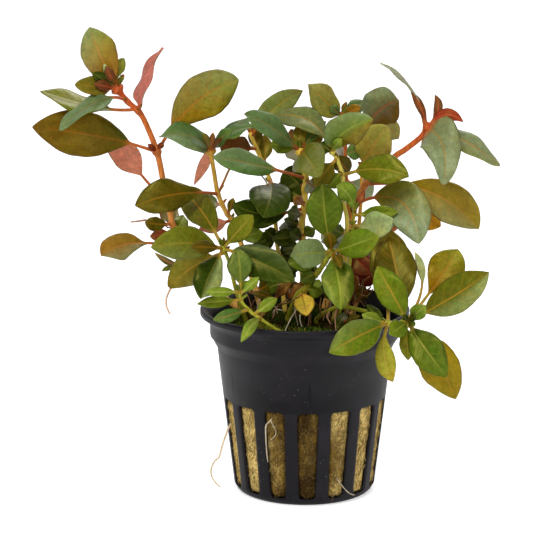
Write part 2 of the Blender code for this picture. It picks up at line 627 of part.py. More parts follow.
def build_centre_shoot():
    stem = Stem("centre", 0.65, [(288, 314, -2), (297, 296, -5), (305, 288, -7), (318, 272, -10),
                                 (325, 262, -12), (333, 250, -14)], "stem_green")
    leaf("centre_up", stem, (333, 250), (323, 183), -12, 9.6, via=(325, 216), stalk=0.2,
         tint="bright_green")
    leaf("centre_left", stem, (332, 252), (290, 256), -25, 7.8, via=(311, 253), stalk=0.1,
         tint="grey_green")
    leaf("centre_right", stem, (333, 250), (379, 236), -24, 7.6, via=(356, 244), stalk=0.1, tint="green")
    leaf("centre_down", stem, (332, 252), (341, 310), -25, 8.6, via=(338, 278), stalk=0.1, tint="green")
    leaf("centre_bud_a", stem, (333, 250), (328, 233), -20, 3.6, small=True, tint="olive")
    leaf("centre_bud_b", stem, (333, 250), (341, 268), -22, 2.6, small=True, tint="olive")
    stem.build()


def build_left_rosette():
    stem = Stem("rosette", 0.6, [(246, 322, -6), (236, 290, -10), (229, 262, -13), (222, 246, -15)],
                "stem_green")
    leaf("rosette_up", stem, (223, 248), (181, 189), 9, 8.2, via=(203, 213), stalk=0.2, tint="olive")
    leaf("rosette_left", stem, (222, 246), (151, 248), -24, 9.0, via=(187, 243), stalk=0.1, tint="green")
    leaf("rosette_right", stem, (223, 248), (295, 281), -22, 9.2, via=(258, 261), stalk=0.12,
         tint="dark_green")
    leaf("rosette_down", stem, (223, 249), (201, 299), -25, 7.6, via=(209, 276), stalk=0.1,
         tint="dark_green")
    leaf("rosette_olive", stem, (225, 253), (169, 287), -8, 8.8, via=(196, 265), stalk=0.2, tint="olive")
    leaf("rosette_high", stem, (223, 247), (253, 215), -17, 6.2, small=True, tint="olive")
    leaf("rosette_bud", stem, (222, 247), (191, 247), -26, 3.6, small=True, tint="olive")
    stem.build()


def build_front_runner():
    stem = Stem("runner", 0.5, [(287, 339, -19), (277, 330, -21), (262, 320, -22), (250, 311, -22),
                                (241, 300, -22), (240, 288, -22)], "stem_green")
    leaf("runner_up", stem, (240, 290), (237, 249), -20, 6.6, via=(240, 268), small=True, tint="green")
    leaf("runner_a", stem, (241, 294), (259, 277), -24, 2.6, small=True, tint="bright_green")
    leaf("runner_b", stem, (240, 292), (205, 292), -26, 2.8, small=True, tint="bright_green")
    leaf("runner_c", stem, (241, 299), (197, 304), -20, 3.2, small=True, tint="green")
    leaf("runner_d", stem, (248, 310), (213, 320), -26, 3.6, small=True, tint="grey_green")
    leaf("runner_e", stem, (254, 314), (277, 298), -19, 3.4, small=True, tint="bright_green")
    leaf("runner_f", stem, (261, 319), (241, 342), -34, 3.2, via=(252, 325), arch=3, small=True,
         tint="bright_green")
    stem.build()


def build_thin_shoot():
    stem = Stem("thin", 0.45, [(338, 317, -5), (349, 270, -6), (352, 235, -6), (355, 208, -6)], "stem_green")
    leaf("thin_front", stem, (353, 226), (393, 219), -16, 7.2, via=(374, 225), small=True, tint="green")
    leaf("thin_side", stem, (354, 215), (398, 212), -9, 4.2, small=True, tint="green")
    leaf("thin_bright", stem, (355, 209), (336, 186), -11, 5.2, via=(348, 194), small=True,
         tint="bright_green")
    leaf("thin_red", stem, (355, 209), (366, 188), -4, 2.4, small=True, tint="red")
    leaf("thin_bud", stem, (355, 211), (349, 196), -8, 2.2, small=True, tint="bright_green")
    stem.build()


clear_scene()
build_pot()
build_wool()
build_left_shoot()
build_second_shoot()
build_third_shoot()
build_middle_shoot()
build_pale_shoot()
build_back_shoot()
build_round_shoot()
build_right_shoot()
build_far_shoot()
build_low_shoot()
build_centre_shoot()
build_left_rosette()
build_front_runner()
build_thin_shoot()
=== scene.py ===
# Potted ludwigia repens: the looks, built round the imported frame. Lengths are in millimetres until a mesh is
# made. A stop is a pixel of the picture and a depth: how far behind the pot's axis the point lies.
import math

import bpy
import numpy as np
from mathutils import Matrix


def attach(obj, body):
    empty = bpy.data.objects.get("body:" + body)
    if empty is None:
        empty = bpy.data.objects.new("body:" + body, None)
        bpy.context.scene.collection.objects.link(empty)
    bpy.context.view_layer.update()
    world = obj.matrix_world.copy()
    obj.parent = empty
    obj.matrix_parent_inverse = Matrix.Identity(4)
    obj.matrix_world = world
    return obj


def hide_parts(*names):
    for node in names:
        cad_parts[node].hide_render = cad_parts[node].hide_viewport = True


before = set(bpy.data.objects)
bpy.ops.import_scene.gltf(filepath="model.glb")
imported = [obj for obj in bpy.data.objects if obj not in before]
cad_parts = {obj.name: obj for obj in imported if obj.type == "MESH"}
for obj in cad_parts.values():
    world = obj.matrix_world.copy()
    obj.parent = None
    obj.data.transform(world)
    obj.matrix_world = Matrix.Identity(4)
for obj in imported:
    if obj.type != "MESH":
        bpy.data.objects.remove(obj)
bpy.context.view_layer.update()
scene = bpy.context.scene
body = "root"
mm = 0.001
fullTurn = 2 * math.pi
print("frame loaded:", len(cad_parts), "nodes")

picture = {
    "centre": 266.5,       # pixels, of a 533 by 533 picture
    "focal": 2687.0,       # pixels
    "place": (-10.24, -700.0, 216.3),
    "down": math.radians(12.5),
}


def unit(vectors):
    return vectors / np.linalg.norm(vectors, axis=-1, keepdims=True)


def place(stop):
    # the point that shows at the stop's pixel and lies at its depth
    right = (stop[0] - picture["centre"]) / picture["focal"]
    up = (picture["centre"] - stop[1]) / picture["focal"]
    cosine, sine = math.cos(picture["down"]), math.sin(picture["down"])
    ray = np.array([right, cosine + up * sine, up * cosine - sine])
    eye = np.array(picture["place"])
    return eye + ray * (stop[2] - eye[1]) / ray[1]


def seenAt(points):
    # the pixels at which points show
    away = points - np.array(picture["place"])
    cosine, sine = math.cos(picture["down"]), math.sin(picture["down"])
    ahead = away[:, 1] * cosine - away[:, 2] * sine
    up = away[:, 1] * sine + away[:, 2] * cosine
    across = picture["centre"] + picture["focal"] * away[:, 0] / ahead
    return np.stack([across, picture["centre"] - picture["focal"] * up / ahead], axis=1)


def smoothPath(points, step):
    # a Catmull-Rom curve through the points, sampled about step apart
    held = [2 * points[0] - points[1], *points, 2 * points[-1] - points[-2]]
    path = []
    for a, b, c, d in zip(held, held[1:], held[2:], held[3:]):
        count = max(1, round(float(np.linalg.norm(c - b)) / step))
        t = (np.arange(count) / count)[:, None]
        square = 2 * a - 5 * b + 4 * c - d
        cube = 3 * b - a - 3 * c + d
        path.append(0.5 * (2 * b + (c - a) * t + square * t**2 + cube * t**3))
    path.append(np.array([points[-1]]))
    return np.concatenate(path)


class Wire:
    # a shader socket on which + - * / and the like add Math nodes

    def __init__(self, paint, socket):
        self.paint = paint
        self.socket = socket

    def maths(self, operation, *values):
        return self.paint.node("ShaderNodeMath", {"operation": operation}, dict(enumerate((self, *values))))

    def __add__(self, other):
        return self.maths("ADD", other)

    def __sub__(self, other):
        return self.maths("SUBTRACT", other)

    def __mul__(self, other):
        return self.maths("MULTIPLY", other)

    def __truediv__(self, other):
        return self.maths("DIVIDE", other)

    def __rsub__(self, other):
        return self.paint.node("ShaderNodeMath", {"operation": "SUBTRACT"}, {0: other, 1: self})

    def __abs__(self):
        return self.maths("ABSOLUTE")

    __radd__ = __add__
    __rmul__ = __mul__

    def fraction(self):
        return self.maths("FRACT")

    def ramp(self, low, high, first=0.0, last=1.0):
        # rises smoothly from first to last as this goes from low to high
        values = {"Value": self, "From Min": low, "From Max": high, "To Min": first, "To Max": last}
        return self.paint.node("ShaderNodeMapRange", {"interpolation_type": "SMOOTHSTEP"}, values)


class Paint:
    # a material or sky under construction: its tree, its shader, and one method that adds any node

    def __init__(self, name, family=bpy.data.materials, shader="Principled BSDF", **sockets):
        self.made = family.new(name)
        self.made.use_nodes = True
        self.tree = self.made.node_tree
        self.shader = self.tree.nodes[shader]
        self.set(**sockets)

    def set(self, **sockets):
        for name, value in sockets.items():
            self.put(self.shader.inputs[name.replace("_", " ")], value)

    def put(self, socket, value):
        if isinstance(value, Wire):
            self.tree.links.new(value.socket, socket)
        elif socket.type == "RGBA":
            socket.default_value = (*value, 1.0)
        else:
            socket.default_value = value

    def node(self, kind, settings=None, values=None, output=0):
        made = self.tree.nodes.new(kind)
        for name, value in (settings or {}).items():
            setattr(made, name, value)
        for key, value in (values or {}).items():
            self.put(made.inputs[key], value)
        return Wire(self, made.outputs[output])

    def mix(self, first, second, share, blend="MIX"):
        # colours blended by a share, or the first multiplied by the second where blend is MULTIPLY
        values = {0: share, 6: first, 7: second}
        return self.node("ShaderNodeMix", {"data_type": "RGBA", "blend_type": blend}, values, 2)

    def scaled(self, colour, size):
        return self.node("ShaderNodeVectorMath", {"operation": "SCALE"}, {0: colour, "Scale": size})

    def attribute(self, name, output="Fac"):
        return self.node("ShaderNodeAttribute", {"attribute_name": name}, None, output)

    def spot(self, scale, stretch=(1, 1, 1)):
        # object coordinates in millimetres, times scale and stretch
        source = self.node("ShaderNodeTexCoord", None, None, "Object")
        sizes = tuple(scale * share / mm for share in stretch)
        return self.node("ShaderNodeMapping", None, {"Vector": source, "Scale": sizes})

    def noise(self, scale, detail, stretch=(1, 1, 1)):
        values = {"Vector": self.spot(scale, stretch), "Scale": 1.0, "Detail": detail}
        return self.node("ShaderNodeTexNoise", None, values)

    def cells(self, scale, feature="F1"):
        values = {"Vector": self.spot(scale), "Scale": 1.0}
        return self.node("ShaderNodeTexVoronoi", {"feature": feature}, values)

    def bump(self, height, distance, strength):
        values = {"Height": height, "Distance": distance * mm, "Strength": strength}
        self.set(Normal=self.node("ShaderNodeBump", None, values))


def makePiece(name, shape, material, slotName, *replaced):
    # one mesh from points in millimetres, quads and triangles, and the points' colours and numbers
    mesh = bpy.data.meshes.new(name)
    verts, (quads, triangles), colours, numbers = shape
    corners = np.concatenate([quads.reshape(-1), triangles.reshape(-1)]).astype(np.int32)
    starts = np.concatenate([np.arange(len(quads)) * 4, len(quads) * 4 + np.arange(len(triangles)) * 3])
    mesh.vertices.add(len(verts))
    mesh.vertices.foreach_set("co", (verts * mm).astype(np.float32).reshape(-1))
    mesh.loops.add(len(corners))
    mesh.loops.foreach_set("vertex_index", corners)
    mesh.polygons.add(len(starts))
    mesh.polygons.foreach_set("loop_start", starts.astype(np.int32))
    mesh.update(calc_edges=True)
    mesh.validate()
    mesh.shade_smooth()
    for key, values in colours.items():
        layer = mesh.attributes.new(key, "FLOAT_COLOR", "POINT")
        rgba = np.concatenate([values, np.ones((len(values), 1))], axis=1)
        layer.data.foreach_set("color", rgba.astype(np.float32).reshape(-1))
    for key, values in numbers.items():
        layer = mesh.attributes.new(key, "FLOAT", "POINT")
        layer.data.foreach_set("value", np.asarray(values, dtype=np.float32))
    made = bpy.data.objects.new(name, mesh)
    scene.collection.objects.link(made)
    mesh.materials.append(material)
    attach(made, body)
    if replaced:
        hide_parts(*replaced)


def ringFaces(rings, sides):
    # quads between rings of points, and a fan to one point after the last ring and to one before the first
    turn = np.arange(sides)
    after = (turn + 1) % sides
    rows = np.arange(rings - 1)[:, None] * sides
    low, beside = rows + turn, rows + after
    quads = np.stack([low, beside, beside + sides, low + sides], axis=-1).reshape(-1, 4)
    last = (rings - 1) * sides
    ends = np.stack([last + turn, last + after, np.full(sides, rings * sides)], axis=1)
    starts = np.stack([after, turn, np.full(sides, rings * sides + 1)], axis=1)
    return quads, np.concatenate([ends, starts])


def joined(parts):
    # several (points, (quads, triangles), colours, numbers) as one
    offset = 0
    points, quads, triangles = [], [], []
    for part in parts:
        points.append(part[0])
        quads.append(part[1][0] + offset)
        triangles.append(part[1][1] + offset)
        offset += len(part[0])
    colours = {key: np.concatenate([part[2][key] for part in parts]) for key in parts[0][2]}
    numbers = {key: np.concatenate([part[3][key] for part in parts]) for key in parts[0][3]}
    return np.concatenate(points), (np.concatenate(quads), np.concatenate(triangles)), colours, numbers


def tube(path, radii, sides):
    # circles of the given radii carried along a path, with rounded ends
    along = unit(np.gradient(path, axis=0))
    side = np.cross(along[0], [0.0, 1.0, 0.0])
    side = unit(side - along * (side * along).sum(axis=1, keepdims=True))
    across = np.cross(along, side)
    angle = fullTurn * np.arange(sides) / sides
    ring = np.cos(angle)[None, :, None] * side[:, None] + np.sin(angle)[None, :, None] * across[:, None]
    verts = (path[:, None] + ring * radii[:, None, None]).reshape(-1, 3)
    ends = np.array([path[-1] + along[-1] * radii[-1] * 0.6, path[0] - along[0] * radii[0] * 0.6])
    return np.concatenate([verts, ends]), ringFaces(len(path), sides)


def lathe(outline, segments, closed=False):
    # a profile of radius and height turned round the Z axis, closed into a ring or by a point at both ends
    profile = np.array(outline if closed else outline[1:-1])
    angle = fullTurn * np.arange(segments) / segments
    verts = np.stack([profile[:, :1] * np.cos(angle), profile[:, :1] * np.sin(angle),
                      np.repeat(profile[:, 1:], segments, axis=1)], axis=-1).reshape(-1, 3)
    rows = len(profile)
    if not closed:
        verts = np.concatenate([verts, [[0, 0, outline[-1][1]], [0, 0, outline[0][1]]]])
        return verts, ringFaces(rows, segments)
    low = np.arange(rows)[:, None] * segments + np.arange(segments)
    after = np.roll(low, -1, axis=1)
    quads = np.stack([low, after, np.roll(after, -1, axis=0), np.roll(low, -1, axis=0)], -1).reshape(-1, 4)
    return verts, (quads, np.zeros((0, 3), int))


pot = {
    "height": 50.0,
    "lipRadius": 28.0,
    "lipHeight": 1.7,
    "lipFlare": 2.5,
    "collarRadius": 25.4,
    "collarFoot": 42.4,
    "collarSlant": 2.3,
    "topRadius": 23.55,
    "footRadius": 18.75,
    "footRound": 2.1,
    "wall": 1.1,
    "slots": 15,
    "slotFoot": 1.9,
    "slotTop": 26.4,
    "slotFootWidth": 4.4,
    "slotTopWidth": 5.8,
    "slotCorner": 1.25,
    "firstSlot": 1.6,      # degrees to the right of the front
    "marks": 6,            # narrow slits above the slots, all round
    "firstMark": 2.4,      # degrees to the right of the front
    "markHeight": 31.8,
    "markReach": 3.4,      # half its height
    "markHalf": 0.3,       # half its width
    "black": (0.0062, 0.0050, 0.0072),
    "smear": (0.020, 0.016, 0.023),
    "speck": (0.26, 0.25, 0.24),
    # painted shade: the near black inside the slits above the slots
    "slitShade": (0.0015, 0.0015, 0.0015),
    "ribGrid": (34, 9),    # rows and columns of points on each face of a rib between two slots
    "ribSoft": 0.16,       # how far a rib's edges are rounded off
    "ribClear": 0.02,      # between a rib's ends and the floor or the collar
    "floorSides": 180,
    "collarSides": 240,
}


def slotHalf(z):
    # half the width of a slot at height z, which widens upwards, with round corners
    share = (z - pot["slotFoot"]) / (pot["slotTop"] - pot["slotFoot"])
    half = (pot["slotFootWidth"] + share * (pot["slotTopWidth"] - pot["slotFootWidth"])) / 2
    corner = pot["slotCorner"]
    inside = np.minimum(z - pot["slotFoot"], pot["slotTop"] - z)
    cut = np.clip(corner - inside, 0, corner)
    return half - corner + np.sqrt(np.clip(corner**2 - cut**2, 0, None))


def bodyRadius(z):
    share = z / (pot["collarFoot"] - pot["collarSlant"])
    return pot["footRadius"] + share * (pot["topRadius"] - pot["footRadius"])


def slotSwell(angle, z, radius, margin):
    # 1 in the middle of each slot and 0 at its sides, on a round curve
    turn = (np.degrees(angle) + 90 - pot["firstSlot"]) / 360 * pot["slots"]
    apart = np.abs(turn - np.round(turn)) * fullTurn / pot["slots"] * radius
    room = slotHalf(np.clip(z, pot["slotFoot"], pot["slotTop"])) - margin
    return np.sqrt(np.clip(1 - (apart / room) ** 2, 0, 1))


def potMaterial():
    paint = Paint("potPlastic", Roughness=0.36, Specular_IOR_Level=0.23)
    smear = paint.noise(0.16, 4.0)
    grain = paint.noise(2.6, 3.0)
    speck = paint.cells(0.75).ramp(0.14, 0.06) * paint.noise(0.12, 2.0).ramp(0.50, 0.66)
    base = paint.mix(pot["black"], pot["smear"], smear.ramp(0.45, 0.75) * 0.6)
    base = paint.mix(base, pot["speck"], speck * 0.6)
    # marks: ellipses at even angles round the axis, cut off flat at both ends, painted near black as the shade
    # inside each slit and pressed in as a dent
    spot = paint.spot(1.0)
    x, y, z = (paint.node("ShaderNodeSeparateXYZ", None, {"Vector": spot}, k) for k in range(3))
    turn = x.maths("ARCTAN2", 0 - y) * (pot["marks"] / fullTurn) - pot["firstMark"] * pot["marks"] / 360 + 0.5
    aside = abs((turn + pot["marks"]).fraction() - 0.5) * (fullTurn * pot["topRadius"] / pot["marks"])
    rise = (z - pot["markHeight"]) / pot["markReach"]
    slitShade = (aside / pot["markHalf"] + rise * rise).ramp(1.15, 0.75) * abs(rise).ramp(1.05, 0.95)
    paint.set(Base_Color=paint.mix(base, pot["slitShade"], slitShade), Roughness=0.30 + 0.22 * smear + 0.06 * grain)
    paint.bump(grain * 0.2 + speck * 0.2 - slitShade * 2.0, 0.15, 0.7)
    return paint.made


def potRib(number):
    # R(u, v) = (r cos a, r sin a, z(u)), where a runs from one slot to the next, with r for each face
    rows, columns = pot["ribGrid"]
    step = fullTurn / pot["slots"]
    rise = 0.5 - 0.5 * np.cos(np.pi * np.linspace(0, 1, rows))
    z = pot["slotFoot"] + pot["ribClear"] + rise * (pot["slotTop"] - pot["slotFoot"] - 2 * pot["ribClear"])
    outer = bodyRadius(z)
    across = np.linspace(-1, 1, columns)
    soft = pot["ribSoft"] * np.clip(np.abs(across) * 4 - 3, 0, 1) ** 2
    middle = math.radians(pot["firstSlot"] - 90) + (number + 0.5) * step
    angle = middle + across[None, :] * (step / 2 - (slotHalf(z) / outer)[:, None])
    faces = []
    for radius in (outer[:, None] - soft[None, :], outer[:, None] - pot["wall"] + soft[None, :]):
        faces.append(np.stack([radius * np.cos(angle), radius * np.sin(angle), z[:, None] + 0 * angle], -1))
    ring = np.concatenate([faces[0], faces[1][:, ::-1]], axis=1)
    ends = [ring[-1].mean(axis=0)], [ring[0].mean(axis=0)]
    return np.concatenate([ring.reshape(-1, 3), *ends]), ringFaces(rows, 2 * columns)


def buildPot():
    # the ribs between the slots, and the floor and the collar as closed lathes: profiles of radius and height
    slantFoot = pot["collarFoot"] - pot["collarSlant"]
    lipFoot = pot["height"] - pot["lipHeight"]
    flare = lipFoot - pot["lipFlare"]
    collar, lip, wall = pot["collarRadius"], pot["lipRadius"], pot["wall"]
    top, bend = pot["topRadius"], pot["footRound"]
    foot, brim = pot["slotFoot"] + 0.05, pot["slotTop"] - 0.05
    footRadius, brimRadius = float(bodyRadius(foot)), float(bodyRadius(brim))
    underside = [(0.0, 0.0)]
    underside += [(pot["footRadius"] - bend + bend * math.sin(a), bend * (1 - math.cos(a)))
                  for a in np.linspace(0, math.pi / 2, 6)]
    underside += [(footRadius, foot), (footRadius - wall, foot), (pot["footRadius"] - wall - 0.3, 1.4),
                  (0.0, 1.3)]
    outside = [(brimRadius, brim), (top - 0.1, slantFoot - 0.5), (top + 0.25, slantFoot + 0.1),
               (collar - 0.6, pot["collarFoot"] - 0.35), (collar - 0.12, pot["collarFoot"] + 0.25),
               (collar, pot["collarFoot"] + 0.9), (collar, flare), (collar + 0.35, flare + 0.8),
               (lip - 0.9, lipFoot - 0.5), (lip - 0.15, lipFoot), (lip, lipFoot + 0.25),
               (lip, pot["height"] - 0.3), (lip - 0.1, pot["height"] - 0.08), (lip - 0.35, pot["height"])]
    inside = [(lip - 0.9, pot["height"]), (lip - 1.15, pot["height"] - 0.15),
              (collar - wall + 0.5, lipFoot - 0.4), (collar - wall, flare),
              (collar - wall, pot["collarFoot"] + 0.7), (top - wall, slantFoot), (brimRadius - wall, brim)]
    shapes = [potRib(k) for k in range(pot["slots"])]
    shapes += [lathe(underside, pot["floorSides"]), lathe(outside + inside, pot["collarSides"], closed=True)]
    pieces = joined([(*shape, {}, {}) for shape in shapes])
    makePiece("pot_black_plastic", pieces, potMaterial(), "pot_black", "net_pot")


wool = {
    "top": 45.6,
    "crown": 0.9,
    "lump": 0.45,
    "light": (0.78, 0.57, 0.200),
    "mid": (0.26, 0.155, 0.032),
    "dark": (0.050, 0.026, 0.007),
    "foot": 1.9,
    "wallRows": 30,
    "topRows": 16,
    "columns": 360,
    "inset": 0.12,         # between the pot's wall and the wool
    "bulge": 0.85,         # how far the wool swells into each slot
    "lumps": (0.22, 0.14),      # heights of the wide and the narrow lumps
    "fibres": 6500,
    "fibreLength": (1.2, 4.5),
    "fibreWidth": (0.06, 0.20),
    "hung": (281, 496, -18.6),
    "hungFibres": 90,
    "moss": 13000,
    "mossLength": (0.9, 2.2),
    "mossWidth": (0.16, 0.42),
    "mossDark": (0.004, 0.020, 0.002),
    "mossLight": (0.340, 0.560, 0.040),
}


def woolHeight(x, y):
    # a low crown with lumps
    crown = wool["crown"] * (1 - (x**2 + y**2) / pot["topRadius"] ** 2)
    return wool["top"] + crown + wool["lump"] * np.sin(0.55 * x + 1.0) * np.cos(0.47 * y + 0.4)


def blotches(points, scale, seed):
    # smooth noise as a sum of waves in chosen directions, from about -1 to 1
    rng = np.random.default_rng(seed)
    ways = rng.normal(0, scale, (14, 3))
    starts = rng.uniform(0, fullTurn, 14)
    return np.sin(points @ ways.T + starts).sum(axis=1) / 4.0


def woolShare(points):
    # how pale the wool is at points, from 0 to 1: darkest at the front, in the moss's shade, and in blotches
    front = np.where(points[:, 1] < 0, np.exp(-(((points[:, 0] + 1.0) / 8) ** 2)), 0.4)
    share = 1.0 - 0.92 * front + 0.20 * blotches(points, 0.35, 5) + 0.10 * blotches(points, 1.4, 6)
    return np.clip(np.where(points[:, 2] > pot["collarFoot"], 0.0, share), 0, 1)[:, None]


def woolMaterial(name, grainy=False):
    paint = Paint(name, Roughness=0.95, Specular_IOR_Level=0.04)
    tone = paint.noise(1.6, 4.0).ramp(0.25, 0.75, 0.55, 1.35)
    paint.set(Base_Color=paint.scaled(paint.attribute("colour", "Color"), tone))
    if grainy:
        paint.bump(paint.noise(3.0, 5.0, (1, 1, 0.4)), 0.25, 0.8)
    return paint.made


def buildWool():
    # P(u, v) = (r(u) cos v, r(u) sin v, z(u)), up the wall and then in over the top, with blotches added
    inset = pot["wall"] + wool["inset"]
    walls, columns = wool["wallRows"], wool["columns"]
    angle = fullTurn * np.arange(columns) / columns
    slantFoot = pot["collarFoot"] - pot["collarSlant"]
    z = np.linspace(wool["foot"], slantFoot - 0.4, walls)
    shrink = np.linspace(0.99, 0.04, wool["topRows"])
    radius = np.concatenate([bodyRadius(z) - inset, (pot["topRadius"] - inset) * shrink])[:, None]
    heights = np.concatenate([z, np.full(wool["topRows"], slantFoot)])[:, None]
    heights = np.repeat(heights, columns, axis=1)
    points = np.stack([radius * np.cos(angle), radius * np.sin(angle), heights], -1)
    points[walls:, :, 2] = woolHeight(points[walls:, :, 0], points[walls:, :, 1])
    flat = points.reshape(-1, 3)
    wide, narrow = wool["lumps"]
    lumps = (blotches(flat, 0.9, 3) * wide + blotches(flat, 2.6, 4) * narrow).reshape(-1, columns)
    outward = np.stack([np.cos(angle), np.sin(angle), 0 * angle], -1)
    z = z[:, None]
    inSlot = (z > pot["slotFoot"] + 0.6) & (z < pot["slotTop"] - 0.4)
    bulge = wool["bulge"] * slotSwell(angle, z, radius[:walls], 0.25) * inSlot
    points[:walls] += outward[None] * (bulge - np.abs(lumps[:walls]) * 0.9)[..., None]
    points[walls:, :, 2] += lumps[walls:]
    verts = np.concatenate([points.reshape(-1, 3), [[0, 0, woolHeight(0, 0)], [0, 0, wool["foot"]]]])
    dark, mid, pale = (np.array(wool[key]) for key in ("dark", "mid", "light"))
    share = woolShare(verts)
    colour = np.where(share < 0.5, dark + (mid - dark) * share * 2, mid + (pale - mid) * (share * 2 - 1))
    plug = verts, ringFaces(len(points), columns), {"colour": colour}, {}
    makePiece("rock_wool_plug", plug, woolMaterial("rockWool", True), "rock_wool", "rock_wool")


def strands(centres, ways, lengths, widths, bend, rng, steps):
    # many thin three-sided threads at once: each a bowed line of rings that closes to a point at both ends
    count = len(centres)
    share = np.linspace(-0.5, 0.5, steps + 1)
    ways = unit(ways)
    side = unit(np.cross(ways, rng.normal(0, 1, (count, 3))))
    path = centres[:, None] + ways[:, None] * (lengths[:, None] * share)[..., None]
    path = path + side[:, None] * (bend[:, None] * lengths[:, None] * (0.25 - share**2))[..., None]
    other = np.cross(ways, side)
    angle = fullTurn * np.arange(3) / 3
    ring = np.cos(angle)[:, None] * side[:, None, None] + np.sin(angle)[:, None] * other[:, None, None]
    inner = path[:, 1:-1, None] + ring * widths[:, None, None, None] / 2
    verts = np.concatenate([inner.reshape(count, -1, 3), path[:, -1:], path[:, :1]], axis=1)
    quads, triangles = ringFaces(steps - 1, 3)
    offset = (np.arange(count) * verts.shape[1])[:, None, None]
    faces = (quads[None] + offset).reshape(-1, 4), (triangles[None] + offset).reshape(-1, 3)
    return verts.reshape(-1, 3), faces


def addStrands(name, shape, skin, tones):
    # each thread in its own tone
    colour = np.repeat(tones, len(shape[0]) // len(tones), axis=0)
    makePiece(name, (*shape, {"colour": colour}, {}), woolMaterial(skin), "rock_wool", "rock_wool")


def buildFibres():
    # loose fibres on the wool behind the slots
    rng = np.random.default_rng(11)
    count = wool["fibres"]
    z = rng.uniform(2.6, pot["slotTop"] + 1, count)
    angle = rng.uniform(0, fullTurn, count)
    radius = bodyRadius(z) - pot["wall"] - 0.15 + wool["bulge"] * slotSwell(angle, z, 20, 0.5)
    centres = np.stack([radius * np.cos(angle), radius * np.sin(angle), z], -1)
    tangent = np.stack([-np.sin(angle), np.cos(angle), 0 * angle], -1)
    slope = ((1.15 + rng.normal(0, 0.45, count)) * np.where(rng.uniform(0, 1, count) < 0.6, 1, -1))[:, None]
    ways = tangent * np.cos(slope) + np.array([[0, 0, 1.0]]) * np.sin(slope)
    lengths, widths = (rng.uniform(*wool[key], count) for key in ("fibreLength", "fibreWidth"))
    shape = strands(centres, ways, lengths, widths, rng.uniform(0, 0.5, count), rng, 4)
    # a few fibres are shaded as if they hung at one spot in the dark front slot
    hung = wool["hungFibres"]
    spots = np.stack([rng.normal(0, 1.0, hung), rng.normal(0, 0.3, hung), rng.uniform(-1.0, 1.6, hung)], -1)
    centres[:hung] = place(wool["hung"]) + spots
    rng.normal(size=2 * hung)          # draws that nothing uses, before those of the shades
    tone = (0.15 + 0.85 * rng.uniform(0, 1, count)[:, None] ** 1.3) * (0.12 + 0.88 * woolShare(centres))
    dark, light = np.array(wool["dark"]), np.array(wool["light"]) * 1.3
    addStrands("rock_wool_fibres", shape, "woolFibre", dark + (light - dark) * tone)


def buildMoss():
    # short upright sprigs on the wool's top, thick in some patches and thin in others
    rng = np.random.default_rng(12)
    count = wool["moss"]
    radius = np.sqrt(rng.uniform(0, 1, count)) * (pot["topRadius"] + 0.6)
    angle = rng.uniform(0, fullTurn, count)
    x, y = radius * np.cos(angle), radius * np.sin(angle)
    patch = blotches(np.stack([x, y, 0 * x], -1), 0.22, 7)
    keep = patch + rng.normal(0, 0.5, count) - 0.04 * y > -0.75
    x, y, patch = x[keep], y[keep], patch[keep]
    count = len(x)
    front = np.clip(-(y + 5) / 9, 0, 1)
    length = rng.uniform(*wool["mossLength"], count)
    length = length * (0.75 + 0.35 * np.clip(patch, -1, 1)) * (1 + 1.5 * front)
    ways = np.stack([rng.normal(0, 0.75, count), rng.normal(0, 0.75, count), np.ones(count)], -1)
    centres = np.stack([x, y, woolHeight(x, y) + length * 0.32], -1)
    widths = rng.uniform(*wool["mossWidth"], count)
    shape = strands(centres, ways, length, widths, rng.uniform(-0.6, 0.6, count), rng, 3)
    # painted light and shade: the sprigs are brighter near the front edge and darker further back and towards
    # the right
    shade = 1 - 0.6 * np.clip((x + 2) / 8, 0, 1)
    tone = np.clip((rng.normal(0.45, 0.3, count) + 0.2 * patch) * (0.2 + 0.9 * front) * shade, 0, 1)[:, None]
    colour = np.array(wool["mossDark"]) + (np.array(wool["mossLight"]) - np.array(wool["mossDark"])) * tone
    dry = (rng.uniform(0, 1, count) < 0.16 + 0.5 * np.exp(-((x + 12) / 5) ** 2))[:, None]
    colour = np.where(dry, np.array(wool["mid"]) * (0.15 + 1.6 * tone), colour)
    addStrands("moss_sprigs", shape, "mossSprig", colour)


